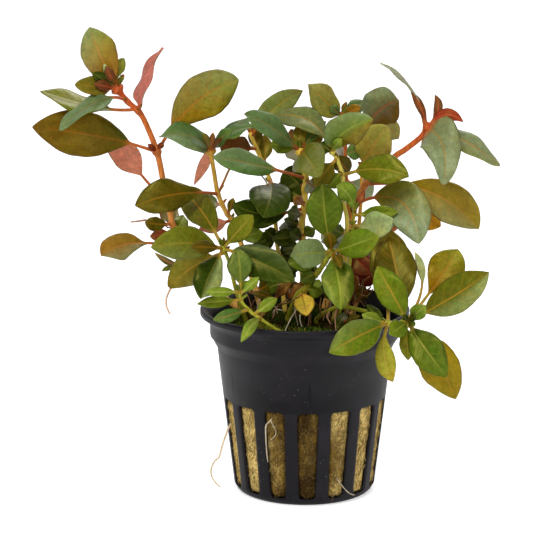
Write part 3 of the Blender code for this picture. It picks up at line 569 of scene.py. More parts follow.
# Each look: the blade by its stalk, the blade by its tip, the midrib and veins, and the underside
looks = {
    "oliveBrown": ((0.128, 0.08, 0.002), (0.13, 0.064, 0.002), (0.27, 0.08, 0.006), (0.44, 0.17, 0.11)),
    "oliveWarm": ((0.27, 0.185, 0.003), (0.3, 0.215, 0.01), (0.5, 0.22, 0.03), (0.42, 0.22, 0.12)),
    # painted sheen: a grey-green of light reflected off a leaf, for whole small leaves and for one half of
    # others
    "mist": ((0.34, 0.4, 0.13), (0.42, 0.5, 0.21), (0.42, 0.44, 0.16), (0.34, 0.24, 0.15)),
    "fawn": ((0.3, 0.235, 0.03), (0.34, 0.29, 0.06), (0.5, 0.24, 0.04), (0.42, 0.22, 0.12)),
    "bronze": ((0.15, 0.075, 0.004), (0.105, 0.06, 0.003), (0.48, 0.09, 0.02), (0.3, 0.1, 0.05)),
    # painted sheen: a paler grey of light reflected off a leaf
    "silver": ((0.33, 0.38, 0.19), (0.46, 0.5, 0.36), (0.55, 0.12, 0.06), (0.46, 0.5, 0.33)),
    "oliveGold": ((0.235, 0.125, 0.002), (0.185, 0.185, 0.008), (0.42, 0.15, 0.015), (0.45, 0.2, 0.13)),
    "oliveDark": ((0.085, 0.07, 0.003), (0.108, 0.082, 0.004), (0.36, 0.15, 0.012), (0.3, 0.15, 0.08)),
    "gold": ((0.35, 0.13, 0.002), (0.21, 0.265, 0.02), (0.5, 0.2, 0.03), (0.45, 0.2, 0.13)),
    "oliveLight": ((0.2, 0.18, 0.008), (0.24, 0.235, 0.03), (0.5, 0.22, 0.03), (0.42, 0.22, 0.12)),
    "oliveDeep": ((0.088, 0.094, 0.003), (0.112, 0.12, 0.006), (0.42, 0.22, 0.02), (0.3, 0.2, 0.08)),
    "olive": ((0.15, 0.12, 0.006), (0.205, 0.165, 0.015), (0.36, 0.2, 0.02), (0.33, 0.2, 0.09)),
    "oliveGreen": ((0.12, 0.135, 0.005), (0.15, 0.165, 0.01), (0.33, 0.24, 0.025), (0.21, 0.2, 0.06)),
    "greenDeep": ((0.06, 0.105, 0.005), (0.085, 0.135, 0.01), (0.26, 0.26, 0.03), (0.16, 0.2, 0.07)),
    "greenWarm": ((0.1, 0.16, 0.005), (0.15, 0.195, 0.01), (0.44, 0.24, 0.025), (0.16, 0.2, 0.07)),
    "orange": ((0.62, 0.27, 0.012), (0.6, 0.33, 0.02), (0.5, 0.16, 0.03), (0.48, 0.2, 0.05)),
    "green": ((0.105, 0.16, 0.005), (0.15, 0.215, 0.012), (0.3, 0.32, 0.04), (0.22, 0.27, 0.1)),
    "greenBright": ((0.15, 0.23, 0.013), (0.2, 0.28, 0.03), (0.38, 0.42, 0.08), (0.27, 0.34, 0.12)),
    "greenDark": ((0.016, 0.034, 0.001), (0.028, 0.054, 0.003), (0.16, 0.15, 0.02), (0.1, 0.14, 0.05)),
    "greyGreen": ((0.056, 0.12, 0.017), (0.092, 0.18, 0.04), (0.26, 0.18, 0.04), (0.26, 0.17, 0.09)),
    "paleGreen": ((0.14, 0.165, 0.01), (0.185, 0.205, 0.024), (0.34, 0.28, 0.06), (0.34, 0.24, 0.15)),
    "yellowGreen": ((0.3, 0.27, 0.02), (0.36, 0.3, 0.03), (0.5, 0.36, 0.05), (0.38, 0.33, 0.1)),
    "brown": ((0.23, 0.13, 0.008), (0.29, 0.15, 0.01), (0.45, 0.16, 0.02), (0.4, 0.18, 0.1)),
    "red": ((0.3, 0.045, 0.018), (0.2, 0.07, 0.02), (0.45, 0.08, 0.03), (0.42, 0.09, 0.06)),
    "redDark": ((0.16, 0.03, 0.012), (0.13, 0.05, 0.016), (0.5, 0.08, 0.03), (0.3, 0.03, 0.012)),
    "pink": ((0.25, 0.23, 0.06), (0.22, 0.19, 0.05), (0.5, 0.12, 0.06), (0.57, 0.165, 0.125)),
    # painted light: pink made brighter, most of all on the underside, as if lit through from behind
    "pinkLit": ((0.2, 0.2, 0.04), (0.18, 0.17, 0.03), (0.8, 0.28, 0.18), (0.8, 0.29, 0.18)),
    "redBrown": ((0.28, 0.075, 0.012), (0.24, 0.1, 0.018), (0.55, 0.15, 0.03), (0.42, 0.08, 0.025)),
    "maroonOlive": ((0.12, 0.06, 0.006), (0.09, 0.06, 0.006), (0.3, 0.03, 0.012), (0.15, 0.05, 0.01)),
    "maroon": ((0.11, 0.012, 0.008), (0.15, 0.02, 0.01), (0.24, 0.03, 0.01), (0.16, 0.02, 0.012)),
    # a dead leaf's own gold, pushed to full brightness as painted light for a leaf that lies in shade
    "dead": ((1, 0.62, 0.05), (1, 0.72, 0.1), (0.42, 0.2, 0.03), (0.5, 0.3, 0.05)),
    "deadBrown": ((0.17, 0.06, 0.012), (0.24, 0.09, 0.015), (0.12, 0.04, 0.01), (0.2, 0.08, 0.02)),
}
reddishBuds = ("redBrown", "oliveDark", "greenDeep", "redBrown")
greenBuds = ("greenDeep", "oliveDark", "greenDeep", "green")
# Each stem: its colour at the foot and at the tip, its leaves' stalks, its buds, and how red its joints are
stems = {
    "red": ((0.86, 0.46, 0.1), (0.56, 0.075, 0.012), (0.5, 0.12, 0.035), reddishBuds, 0.45),
    "tan": ((0.86, 0.49, 0.11), (0.74, 0.43, 0.06), (0.42, 0.11, 0.03), reddishBuds, 0.15),
    # the middle stems' own yellow-tan, painted brighter than tan as light on stems that stand in shade
    "straw": ((0.86, 0.62, 0.1), (0.82, 0.6, 0.07), (0.42, 0.11, 0.03), reddishBuds, 0.15),
    "green": ((0.42, 0.4, 0.03), (0.38, 0.42, 0.03), (0.42, 0.26, 0.035), greenBuds, 0.15),
    "pale": ((0.8, 0.62, 0.1), (0.78, 0.7, 0.12), (0.4, 0.26, 0.04), greenBuds, 0.15),
}
jointRed = (0.42, 0.10, 0.03)
# The slot of a large leaf's look, where it isn't leaf_green
slotOfLook = {"oliveBrown": "leaf_olive", "oliveGold": "leaf_olive", "oliveDark": "leaf_olive",
              "olive": "leaf_olive", "greyGreen": "leaf_grey_green", "brown": "leaf_brown",
              "pink": "leaf_red"}
waxyLooks = ("greyGreen", "silver", "mist")
skins = {
    "leafSkin": {"shine": (1.0, 0.88, 0.20), "warm": (1.15, 0.93, 0.65), "cool": (0.84, 1.03, 0.85),
                 "fleck": 0.08, "rough": 0.25},
    "waxySkin": {"shine": (0.90, 1.0, 0.66), "warm": (1.10, 0.98, 0.84), "cool": (0.93, 0.98, 0.88),
                 "fleck": 0.06, "rough": 0.31},
}
blades = {
    "stalkWide": 0.95,
    "stalkThick": 0.84,
    "thick": 0.34,
    "fold": 1.35,
    "droop": 0.16,         # of the margins, as a share of the half width
    "wave": (0.35, 0.8),        # height of the margin's waves, for a blade 10 wide
    "waves": (1.2, 2.2),
    "quilt": 0.032,        # height of the swellings between veins, for a blade 10 wide
    "twist": 0.10,
    "keel": (0.20, 0.42),       # height and reach of the ridge under the midrib
    "groove": (0.11, 0.26),     # depth and reach of the groove over the midrib
    "unevenness": ((0.030, 7, 2), (0.013, 19, 3), (0.006, 43, -2)),    # of the margin: height, two speeds
    # painted sheen: the grey of light reflected off a blade, mixed into its colour
    "paintedSheen": (0.222, 0.282, 0.136),
    "pit": (0.06, 0.045, 0.01),
    "veinPairs": 7.0,
    "veinSlant": 0.24,
    "veinTint": 0.19,
    "midribTint": 0.7,
    "marginTint": 0.32,
    "largeGrid": (54, 26),
    "smallGrid": (26, 14),
    "tinyGrid": (18, 14),
    "tinyWidth": 3.5,
    "budGrid": (12, 10),
    "fallenGrid": (24, 14),
}
growth = {
    "stemGap": 0.5,        # between the wool's top and the surface of a stem's foot
    "step": 0.5,           # between two points along a stem
    "sides": 14,
    "sunkRings": 8,        # of a stem, inside the wool
    "taper": 0.27,         # how much thinner a stem is at its tip, as a share
    "swell": 0.16,         # at a joint, as a share of the radius
    "swellReach": 0.9,
    "budsApart": 5,        # joints nearer than this many steps share their buds
}
# What a leaf has unless its row says otherwise: the pixel that its midrib passes, its turn about the midrib
# in degrees, how far it bows to the front, how much its halves fold up, its stalk's share of the length,
# where along the blade it is widest, how blunt its ends are, its painted sheen, a grey of reflected light
# mixed into its colour (all over, growing to the tip, growing to one side), and a second look with its side
# and how much of it shows by the stalk and by the tip
plainLeaf = {"via": None, "turn": 0, "arch": 1.0, "fold": 0.15, "stalk": 0.15, "widest": 0.5, "blunt": 0.87,
             "bloom": (0.0, 0.0, 0.0), "patch": None}


def bladeShare(t, widest, blunt):
    # (t / w)^(b w / (1 - w)) times ((1 - t) / (1 - w))^b, which is 1 where t is w, and 0 at both ends
    rise = blunt * widest / (1 - widest)
    return (t / widest) ** rise * ((1 - t) / (1 - widest)) ** blunt


def leafShape(start, middle, tip, row, grid, rng):
    # A leaf is S(u, v) = C(u) + half(u) v A(u) + N(u) rise(u, v), with C a quadratic curve through three
    # points, A across and N off the blade. It is made twice, half a thickness above and below, and joined at
    # the margins.
    rows, sides = grid
    control = 2 * middle - 0.5 * (start + tip)
    u = np.linspace(0, 0.992, rows)[:, None]
    v = np.linspace(-1, 1, sides + 1)[None, :]
    centre = (1 - u) ** 2 * start + 2 * u * (1 - u) * control + u**2 * tip
    along = unit((1 - u) * (control - start) + u * (tip - control))
    facing = unit(np.array(picture["place"]) - centre)
    facing = unit(facing - along * (facing * along).sum(axis=1, keepdims=True))
    rising = np.cross(along, facing)
    wayUp = 1.0 if rising[0, 2] + 0.35 * rising[0, 0] >= 0 else -1.0
    angle = math.radians(row["turn"])
    normal = math.cos(angle) * facing + math.sin(angle) * wayUp * rising
    across = np.cross(along, normal)

    # half the width, which blends the stalk's with the blade's, and the blade's margin slightly uneven
    t = np.clip((u - row["stalk"]) / (1 - row["stalk"]), 0, 1)
    blade = np.clip(t * 12, 0, 1)
    uneven = 1
    for (height, forward, sideways), phase in zip(blades["unevenness"], rng.uniform(0, fullTurn, 3)):
        uneven = uneven + height * np.sin(forward * t + phase + sideways * v)
    stalkHalf = blades["stalkWide"] / 2 * (1 - 0.7 * u)
    bladeHalf = row["width"] / 2 * bladeShare(t, row["widest"], row["blunt"]) * uneven
    half = (stalkHalf**3 + bladeHalf**3) ** (1 / 3)

    # what rises off the blade: the midrib's fold, drooping margins, waves, swellings between veins, a twist
    size = row["width"] / 10
    fold = blades["fold"] * row["fold"] * half * (np.sqrt(v**2 + 0.01) - 0.1)
    droop = -blades["droop"] * half * v**4
    wave = rng.uniform(*blades["wave"]) * size * blade * v**2 * np.sin(fullTurn * (
        rng.uniform(*blades["waves"]) * t + np.where(v > 0, rng.uniform(0, 1), rng.uniform(0, 1))))
    phase = blades["veinPairs"] * (t - blades["veinSlant"] * np.abs(v)) + 0.25
    quilt = blades["quilt"] * size * blade * np.cos(fullTurn * phase)
    quilt = quilt * np.sin(np.pi * np.clip(np.abs(v), 0, 1))
    twist = rng.uniform(-blades["twist"], blades["twist"]) * half * v * t
    sheet = centre[:, None] + across[:, None] * (half * v)[..., None]
    sheet = sheet + normal[:, None] * (fold + droop + wave + quilt + twist)[..., None]

    # two faces, a groove along the midrib on the upper one and a keel on the lower one
    thick = blades["stalkThick"] / 2 * (1 - blade) + blades["thick"] / 2 * blade
    bodyHalf = thick * np.sqrt(np.clip(1 - v**2, 0, 1))
    reach = np.abs(v) * half
    (keelHigh, keelWide), (grooveDeep, grooveWide) = blades["keel"], blades["groove"]
    keel = keelHigh * (1 - 0.8 * t) * blade * np.exp(-((reach / keelWide) ** 2))
    groove = grooveDeep * (1 - 0.6 * t) * blade * np.exp(-((reach / grooveWide) ** 2))
    top = sheet + normal[:, None] * (bodyHalf - groove)[..., None]
    low = sheet - normal[:, None] * (bodyHalf + keel)[..., None]
    low[:, 0], low[:, -1] = top[:, 0], top[:, -1]

    def ringed(upper, lower, last):
        # values on both faces, then those of the tip and of the start
        flat = np.concatenate([upper, lower[:, -2:0:-1]], axis=1)
        return np.concatenate([flat.reshape(-1, *upper.shape[2:]), last])

    def number(values):
        values = np.broadcast_to(values, (rows, sides + 1))
        return ringed(values, values, [values[-1, 1], values[0, 0]])

    verts = ringed(top, low, [tip, start])
    faces = ringFaces(rows, 2 * sides)
    if np.dot(np.cross(across[2], normal[2]), along[2]) > 0:
        faces = faces[0][:, ::-1], faces[1][:, ::-1]

    near, far, rib, under = (np.array(c) for c in looks[row["look"]])
    shade = near + (far - near) * (t[..., None] ** 1.2)
    # a second look over one half of the blade; where that look is one of the sheen looks, the half gets a
    # painted sheen
    if row["patch"]:
        other, side, atBase, atTip = row["patch"]
        share = np.clip(side * v * 2.2, 0, 1) * (atBase + (atTip - atBase) * t) * blade
        shade = shade + (np.array(looks[other][0]) - shade) * np.clip(share, 0, 1)[..., None]
    # painted sheen: the top face turns towards the grey of reflected light, all over, towards the tip and on
    # one side
    paintedSheen = row["bloom"][0] + row["bloom"][1] * t + row["bloom"][2] * v * blade
    paintedSheen = (np.clip(paintedSheen, 0, 0.95) * blade)[..., None]
    topColour = shade * (1 - paintedSheen) + np.array(blades["paintedSheen"]) * paintedSheen
    stalk = np.array(row["stalkColour"])
    topColour = stalk + (topColour - stalk) * blade[..., None]
    lowColour = np.broadcast_to(stalk + (under - stalk) * blade[..., None], topColour.shape)
    colour = ringed(topColour, lowColour, [far, stalk])
    ones = np.ones((rows, sides + 1))
    numbers = {"along": number(t), "across": number(v), "reach": number(reach),
               "topSide": ringed(ones, 0 * ones, [1.0, 1.0]), "blade": number(blade)}
    return verts, faces, {"colour": colour, "ribColour": np.broadcast_to(rib, colour.shape)}, numbers


def leafMaterial(name):
    skin = skins[name]
    paint = Paint(name, Roughness=0.3, Specular_IOR_Level=0.35, Specular_Tint=skin["shine"])
    along, across, reach = paint.attribute("along"), abs(paint.attribute("across")), paint.attribute("reach")
    blade, topSide = paint.attribute("blade"), paint.attribute("topSide")
    ribColour = paint.attribute("ribColour", "Color")
    mottle = paint.noise(0.55, 4.0)
    grain = paint.noise(3.2, 3.0)
    # veins: lines of equal along - slant times across, so that they leave the midrib and bend towards the tip
    phase = blades["veinPairs"] * (along - across * blades["veinSlant"]) + 0.25 + (mottle - 0.5) * 0.22
    vein = abs(phase.fraction() - 0.5).ramp(0.35, 0.5) * across.ramp(0.98, 0.6) * blade * reach.ramp(0.1, 0.5)
    midrib = reach.ramp(0.34, 0.08) * along.ramp(1.0, 0.55, 0.25, 1.0)
    margin = across.ramp(0.94, 1.0)
    net = paint.cells(0.95, "DISTANCE_TO_EDGE").ramp(0.09, 0.0)
    patches = paint.noise(0.26, 3.0)
    flecks = paint.noise(1.1, 2.0).ramp(0.3, 0.7, 1 - skin["fleck"], 1 + skin["fleck"])
    tone = mottle.ramp(0.28, 0.72, 0.87, 1.13) * grain.ramp(0.2, 0.8, 0.92, 1.08) * (1 + 0.14 * net) * flecks
    shaded = paint.scaled(paint.attribute("colour", "Color"), tone)
    for factors, end in ((skin["warm"], 0.70), (skin["cool"], 0.30)):
        shaded = paint.mix(shaded, factors, patches.ramp(0.50, end) * topSide * 0.7, "MULTIPLY")
    for share in (vein * blades["veinTint"], midrib * blade * blades["midribTint"],
                  margin * blade * blades["marginTint"]):
        shaded = paint.mix(shaded, ribColour, share)
    pit = paint.cells(0.85).ramp(0.13, 0.05) * paint.noise(0.35, 2.0).ramp(0.52, 0.66) * topSide
    shaded = paint.mix(shaded, blades["pit"], pit * 0.3)
    paint.set(Base_Color=shaded, Roughness=skin["rough"] + 0.14 * mottle + 0.16 * (1 - topSide))
    relief = vein + net * blade * 0.3
    height = grain * 0.22 - relief * 0.28 * topSide + relief * (1 - topSide) * 0.6 - pit * 0.5
    paint.bump(height, 0.08, 0.9)
    return paint.made


def stemMaterial():
    paint = Paint("stemSkin", Roughness=0.38, Specular_IOR_Level=0.3, Specular_Tint=(1.0, 0.8, 0.4))
    streak = paint.noise(1.5, 4.0, (1, 1, 0.18))
    grain = paint.noise(4.5, 3.0)
    tone = streak.ramp(0.25, 0.75, 0.72, 1.22) * grain.ramp(0.2, 0.8, 0.92, 1.08)
    shaded = paint.scaled(paint.attribute("colour", "Color"), tone)
    shaded = paint.mix(shaded, (0.88, 0.46, 0.22), streak.ramp(0.55, 0.75) * 0.15)
    paint.set(Base_Color=shaded, Roughness=0.34 + 0.16 * streak)
    paint.bump(streak * 0.8 + grain * 0.3, 0.06, 0.8)
    return paint.made


leafSkin, waxySkin = (leafMaterial(name) for name in skins)
stemSkin = stemMaterial()

# Each shoot: its stem's radius and look, the number of buds round its tip, its stops from the wool to the
# tip, its large leaves and its small ones. A leaf's row has the pixel where it leaves the stem, its tip's
# pixel and depth, its width, its look, and what isn't plain about it. A large leaf is a piece of its own, and
# its name ends the name of the solid that it replaces.
shoots = {
    "left": (0.95, "red", 4, [
        (240, 312, 8), (215, 290, 10), (190, 258, 9), (174, 228, 7), (170, 212, 6), (163, 180, 4),
        (157, 152, 2), (146, 124, 0), (139, 112, -1), (127, 101, -2), (115, 86, -3),
    ], {
        "tip": (115, 84, 90, 27, -4, 9.4, "gold",
            dict(via=(100, 55), stalk=0.06, bloom=(-0.22, 0.7, -0.25))),
        "high": (137, 110, 40, 91, -3, 10.2, "oliveGreen",
            dict(turn=62, via=(95, 107), stalk=0.3, widest=0.56)),
        "front": (126, 101, 59, 130, -18, 8, "greyGreen",
            dict(turn=58, via=(99, 101), stalk=0.28, bloom=(0.3, 0.2, 0))),
        "broad": (155, 152, 32, 127, -4, 12.2, "oliveBrown",
            dict(via=(102, 137), stalk=0.25, widest=0.55, patch=("greenDark", 1, 1.2, -1.6))),
        "back": (168, 206, 114, 139, 14, 8.2, "pinkLit", dict(turn=200, via=(134, 166), stalk=0.37)),
        "upright": (139, 112, 163, 47, 3, 8.6, "pink",
            dict(turn=110, via=(144, 79), stalk=0.1, widest=0.32)),
        "inner": (158, 151, 239, 80, 4, 11.8, "oliveGold",
            dict(via=(194, 104), stalk=0.2, widest=0.56, blunt=0.72, bloom=(0, 0.28, -0.2))),
        "low": (184, 250, 101, 256, -4, 7.8, "brown",
            dict(turn=25, via=(136, 243), stalk=0.35, widest=0.6, bloom=(0.1, 0, -0.5))),
    }, [
        (117, 90, 75, 84, -10, 6, "olive", dict(turn=30)),
        (116, 86, 124, 58, 0, 3.4, "paleGreen", dict(via=(116, 75), stalk=0.3, widest=0.62)),
        (115, 86, 106, 66, -7, 2.6, "redDark"), (115, 86, 92, 73, -8, 3, "greenDark"),
        (115, 87, 104, 64, -6, 2.2, "mist"), (115, 88, 94, 84, -9, 3, "redDark"),
        (116, 88, 114, 74, -5, 2.4, "maroonOlive"), (157, 152, 148, 144, 0, 1.6, "maroon"),
        (158, 150, 163, 142, 1, 1.6, "maroon"),
        (193, 262, 155, 253, 1, 1.8, "pinkLit", dict(via=(176, 265), stalk=0.45)),
        (175, 232, 165, 197, 28, 5, "olive"), (191, 258, 184, 240, 31, 7, "olive"),
        (168, 226, 145, 222, 2, 4, "oliveDark"), (172, 234, 150, 236, 2, 3.4, "red"),
        (176, 232, 184, 216, 12, 4.5, "green"),
    ]),
    "second": (0.75, "tan", 4, [
        (262, 314, 4), (250, 270, 6), (234, 225, 6), (226, 212, 5), (218, 194, 4), (214, 172, 3),
        (210, 148, 2),
    ], {
        "low": (218, 194, 135, 206, -12, 9, "oliveDark",
            dict(turn=10, via=(177, 194), arch=3, stalk=0.22, widest=0.56)),
        "tip": (211, 146, 159, 137, -8, 9.8, "greyGreen",
            dict(turn=50, via=(189, 136), arch=2, stalk=0.06, widest=0.42, bloom=(0.1, 0.2, -0.35))),
    }, [
        (210, 147, 254, 128, -1, 8, "greyGreen", dict(turn=70, via=(232, 133))),
        (211, 149, 250, 117, 14, 6, "greyGreen", dict(turn=50)),
        (218, 147, 194, 185, 9, 3.2, "pinkLit", dict(turn=200, via=(205, 162), stalk=0.06)),
        (210, 149, 196, 131, 4, 3, "red"),
        (232, 221, 199, 229, 2, 4, "pinkLit", dict(turn=190)),
        (222, 204, 197, 206, 27, 7, "green"), (238, 238, 263, 232, 0, 5, "green"),
        (209, 148, 232, 130, -2, 4.4, "greyGreen", dict(turn=40)),
        (211, 148, 203, 133, -7, 1.8, "olive"), (211, 148, 213, 133, -6, 1.6, "redBrown"),
        (211, 148, 222, 138, -5, 1.8, "maroonOlive"), (229, 213, 233, 198, 4, 2.2, "oliveDark"),
        (246, 255, 266, 247, 10, 4.5, "greenDark"), (252, 278, 268, 262, 12, 5, "greenDark"),
        (256, 292, 274, 281, 10, 5, "oliveDark"),
    ]),
    "third": (0.65, "straw", 4, [
        (285, 314, 6), (278, 250, 9), (272, 190, 10), (264, 165, 9), (258, 152, 8), (250, 133, 8),
    ], {
        "back": (251, 134, 303, 91, 15, 6.8, "oliveGreen",
            dict(via=(274, 109), stalk=0.06, bloom=(0.2, 0.1, 0))),
        "dark": (269, 180, 263, 218, -12, 11.4, "greenDark", dict(via=(271, 194), arch=3, blunt=0.74)),
    }, [
        (256, 150, 220, 146, 0, 7.4, "maroonOlive", dict(turn=150)),
        (258, 153, 254, 126, 14, 4, "oliveDark"), (265, 165, 265, 134, 14, 4, "olive"),
        (271, 186, 293, 197, 34, 8, "green"), (278, 235, 257, 244, 8, 5, "greenDark"),
        (279, 255, 297, 262, 12, 5, "greenDark"), (280, 262, 265, 272, 14, 5, "greenDeep"),
        (277, 240, 265, 230, 3, 4, "greenDark"), (280, 270, 296, 276, 10, 5, "greenDark"),
        (281, 282, 264, 290, 8, 4.5, "greenDeep"), (283, 292, 300, 286, 12, 5, "oliveDark"),
        (279, 258, 292, 248, 14, 4.5, "greenDark"), (277, 240, 292, 236, 15, 4.5, "greenDark"),
    ]),
    "middle": (0.9, "straw", 4, [
        (304, 318, 2), (302, 225, 2), (304, 210, 2), (305, 190, 2), (306, 180, 2), (304, 170, 2),
        (300, 148, 2),
    ], {
        "left": (305, 179, 213, 157, -10, 7.8, "greyGreen",
            dict(turn=35, via=(256, 165), stalk=0.28, bloom=(0.1, 0.25, 0.25))),
        "low": (304, 208, 233, 204, -4, 8, "greenDark", dict(turn=20, via=(264, 214), stalk=0.2)),
        "high": (300, 149, 244, 114, -8, 7.6, "greyGreen",
            dict(turn=40, via=(272, 128), stalk=0.08, bloom=(0.2, 0, 0))),
        "front": (301, 150, 318, 177, -20, 10.2, "oliveGreen",
            dict(via=(309, 160), arch=2, stalk=0.08, widest=0.4, blunt=0.74, bloom=(0.02, 0.15, 0))),
    }, [
        (298, 143, 270, 146, 6, 5.5, "green", dict(turn=10)),
        (300, 149, 300, 124, 5, 4, "olive"),
        (300, 149, 326, 121, 4, 3.6, "greyGreen", dict(turn=40)),
        (305, 190, 284, 170, 8, 8.5, "greenDark"), (304, 168, 296, 138, 33, 8, "olive"),
        (303, 214, 326, 204, 26, 7, "green"), (302, 226, 284, 219, 8, 3.6, "greenDark"),
        (302, 240, 290, 232, -4, 4.5, "greenDark"), (302, 235, 272, 240, 4, 5, "greenDark"),
        (302, 228, 279, 228, 12, 4.6, "greenDark"), (303, 215, 287, 212, -6, 4.4, "greenDark"),
        (303, 236, 314, 228, -6, 3.6, "greenDeep"), (304, 205, 294, 197, -5, 3.4, "redBrown"),
        (302, 246, 284, 250, 6, 5, "greenDark"), (302, 250, 319, 243, 8, 4.5, "greenDeep"),
        (305, 192, 321, 186, 4, 4.6, "greenDark"), (302, 262, 287, 266, 8, 4.6, "greenDark"),
        (302, 270, 318, 276, 9, 5, "greenDark"), (303, 285, 317, 292, 8, 4.6, "oliveDark"),
        (303, 292, 288, 297, 4, 4, "deadBrown"), (300, 149, 321, 128, 7, 5.6, "olive"),
        (300, 149, 290, 130, 7, 5, "redBrown"), (304, 199, 289, 190, 4, 5, "greenDark"),
        (305, 190, 318, 190, 0, 2.6, "redBrown"), (305, 180, 317, 189, -3, 5, "silver"),
    ]),
    "pale": (0.7, "pale", 4, [
        (334, 316, -2), (345, 265, -1), (347, 222, -1), (344, 205, -1), (341, 187, -1), (343, 177, -1),
        (336, 157, -1), (330, 149, -2),
    ], {
        "top": (331, 150, 373, 119, -9, 9.4, "green",
            dict(turn=15, via=(344, 132), stalk=0.08, widest=0.46, blunt=0.74, patch=("brown", 1, 0.7, 0.8),
                 bloom=(0.08, 0, -0.4))),
        "right": (343, 176, 409, 177, -11, 8.2, "oliveGreen", dict(turn=15, via=(377, 169), stalk=0.18)),
    }, [
        (331, 151, 275, 117, 8, 8.8, "oliveDeep",
         dict(turn=45, via=(309, 121), stalk=0.15, bloom=(0.3, 0.1, 0))),
        (336, 158, 314, 187, -8, 5.4, "olive"), (342, 172, 327, 187, -7, 4.6, "green"),
        (331, 150, 342, 139, -6, 2.8, "greenBright"), (346, 235, 331, 228, 6, 4, "greenDeep"),
        (345, 255, 359, 262, 8, 4.6, "greenDark"), (344, 270, 357, 290, 2, 4.4, "redBrown"),
        (346, 250, 373, 275, -5, 6.6, "maroon"), (333, 153, 320, 143, -3, 5, "greenDark"),
        (333, 153, 349, 172, 4, 5, "oliveDark"), (345, 262, 330, 272, 6, 4.6, "greenDark"),
        (343, 275, 325, 284, 6, 4.6, "greenDeep"), (340, 290, 324, 297, 4, 4, "oliveDark"),
    ]),
    "back": (0.7, "red", 4, [
        (338, 309, 13), (350, 240, 13), (346, 180, 13), (345, 140, 12), (341, 113, 12),
    ], {
        "high": (341, 116, 308, 84, 8, 8.4, "oliveLight",
            dict(turn=30, via=(326, 102), stalk=0.06, widest=0.5, patch=("fawn", 1, 0.6, 0.9),
                 bloom=(0, 0.3, 0))),
    }, [
        (342, 115, 361, 107, 8, 3.2, "brown"), (341, 114, 330, 107, 8, 2.6, "greyGreen"),
        (342, 116, 365, 101, 22, 4.4, "greyGreen"), (350, 246, 362, 264, 38, 8, "greenDark"),
        (345, 275, 326, 266, 29, 6, "greenBright"), (345, 140, 330, 150, 34, 8, "olive"),
        (346, 180, 372, 196, 32, 8, "green"), (350, 232, 322, 240, 36, 8, "green"),
        (349, 250, 335, 246, 20, 5, "greenDark"), (346, 265, 361, 275, 18, 5, "greenDeep"),
        (341, 290, 357, 297, 16, 5, "greenDark"), (345, 285, 330, 288, 18, 5, "greenDark"),
    ]),
    "round": (0.6, "tan", 4, [
        (346, 311, 9), (356, 255, 10), (361, 200, 11), (362, 172, 11), (364, 150, 11), (366, 123, 11),
    ], {
        "top": (366, 123, 399, 101, -3, 10.8, "bronze",
            dict(via=(382, 108), stalk=0.05, blunt=0.6, patch=("oliveLight", -1, 0.9, 0.8),
                 bloom=(0.35, -0.1, -0.7))),
        "low": (363, 168, 388, 126, 5, 10, "fawn", dict(via=(373, 146), stalk=0.1, blunt=0.74)),
    }, [
        (365, 130, 399, 138, 13, 7, "fawn", dict(turn=30, via=(385, 128), bloom=(0.3, 0, 0))),
        (357, 245, 376, 252, 16, 6, "greenDark"), (364, 150, 380, 160, 33, 8, "green"),
        (353, 282, 374, 271, 8, 6.4, "maroon"), (364, 150, 346, 153, 8, 4.4, "greyGreen"),
        (366, 128, 381, 130, 9, 4.8, "greyGreen"), (352, 290, 368, 297, 6, 4.4, "oliveDark"),
    ]),
    "right": (1, "red", 0, [
        (325, 314, 10), (340, 262, 10), (352, 215, 7), (366, 184, 3), (393, 158, 0), (406, 149, -1),
        (422, 136, -2), (430, 124, -3),
    ], {
        "grey": (357, 203, 419, 244, -14, 11.6, "oliveLight",
            dict(via=(400, 201), stalk=0.17, widest=0.53, blunt=0.74, bloom=(-0.3, 1.6, 0.3))),
        "broad": (366, 185, 479, 229, -2, 10.7, "oliveWarm",
            dict(via=(430, 192), arch=0, stalk=0.25, widest=0.6, bloom=(0, 0, 0.5))),
        "edge": (425, 131, 380, 63, -5, 5, "silver", dict(turn=100, via=(411, 90), stalk=0.25)),
        "hanging": (427, 121, 443, 185, -16, 10.8, "olive",
            dict(via=(444, 149), arch=2, stalk=0.03, widest=0.18, blunt=0.6, bloom=(0.68, 0.2, 0.1))),
        "tip": (430, 124, 500, 166, -1, 7.6, "oliveLight",
            dict(turn=45, via=(466, 142), stalk=0.08, patch=("silver", -1, 0.5, 0.4),
                 bloom=(0.55, 0.2, -0.2))),
    }, [
        (430, 124, 463, 122, -6, 3.6, "redDark", dict(turn=190, via=(446, 115), widest=0.4)),
        (429, 125, 435, 95, -2, 2.4, "redDark", dict(via=(438, 110))),
        (426, 128, 411, 92, -5, 2.2, "redDark", dict(via=(421, 108))),
    ]),
    "far": (0.6, "red", 4, [
        (352, 309, 6), (376, 262, 10), (394, 229, 12), (408, 205, 13),
    ], {}, [
        (407, 207, 441, 226, 10, 7, "orange"), (390, 236, 384, 225, 34, 7.5, "green"),
        (374, 266, 367, 283, 33, 7, "olive"),
    ]),
    "low": (0.65, "green", 0, [
        (316, 322, -4), (326, 312, -7), (341, 307, -10), (364, 311, -15), (377, 314, -19), (388, 323, -24),
        (411, 321, -24),
    ], {
        "upper": (411, 319, 458, 249, -20, 9.4, "oliveGold", dict(via=(435, 285), stalk=0.36, widest=0.6)),
        "right": (411, 320, 489, 272, -30, 9.4, "oliveDeep",
            dict(via=(449, 299), stalk=0.2, widest=0.5, patch=("mist", 1, 0.2, 0.7))),
        "front": (410, 322, 447, 377, -33, 8.6, "greenDeep",
            dict(via=(425, 348), stalk=0.12, patch=("greenWarm", 1, 0.7, 0.2))),
        "down": (411, 322, 456, 399, -22, 10.4, "oliveWarm",
            dict(via=(436, 360), arch=0, stalk=0.2, widest=0.47)),
        "inner": (409, 320, 377, 266, -21, 8, "greenWarm",
            dict(via=(392, 293), stalk=0.08, patch=("green", 1, 0.9, 0.9))),
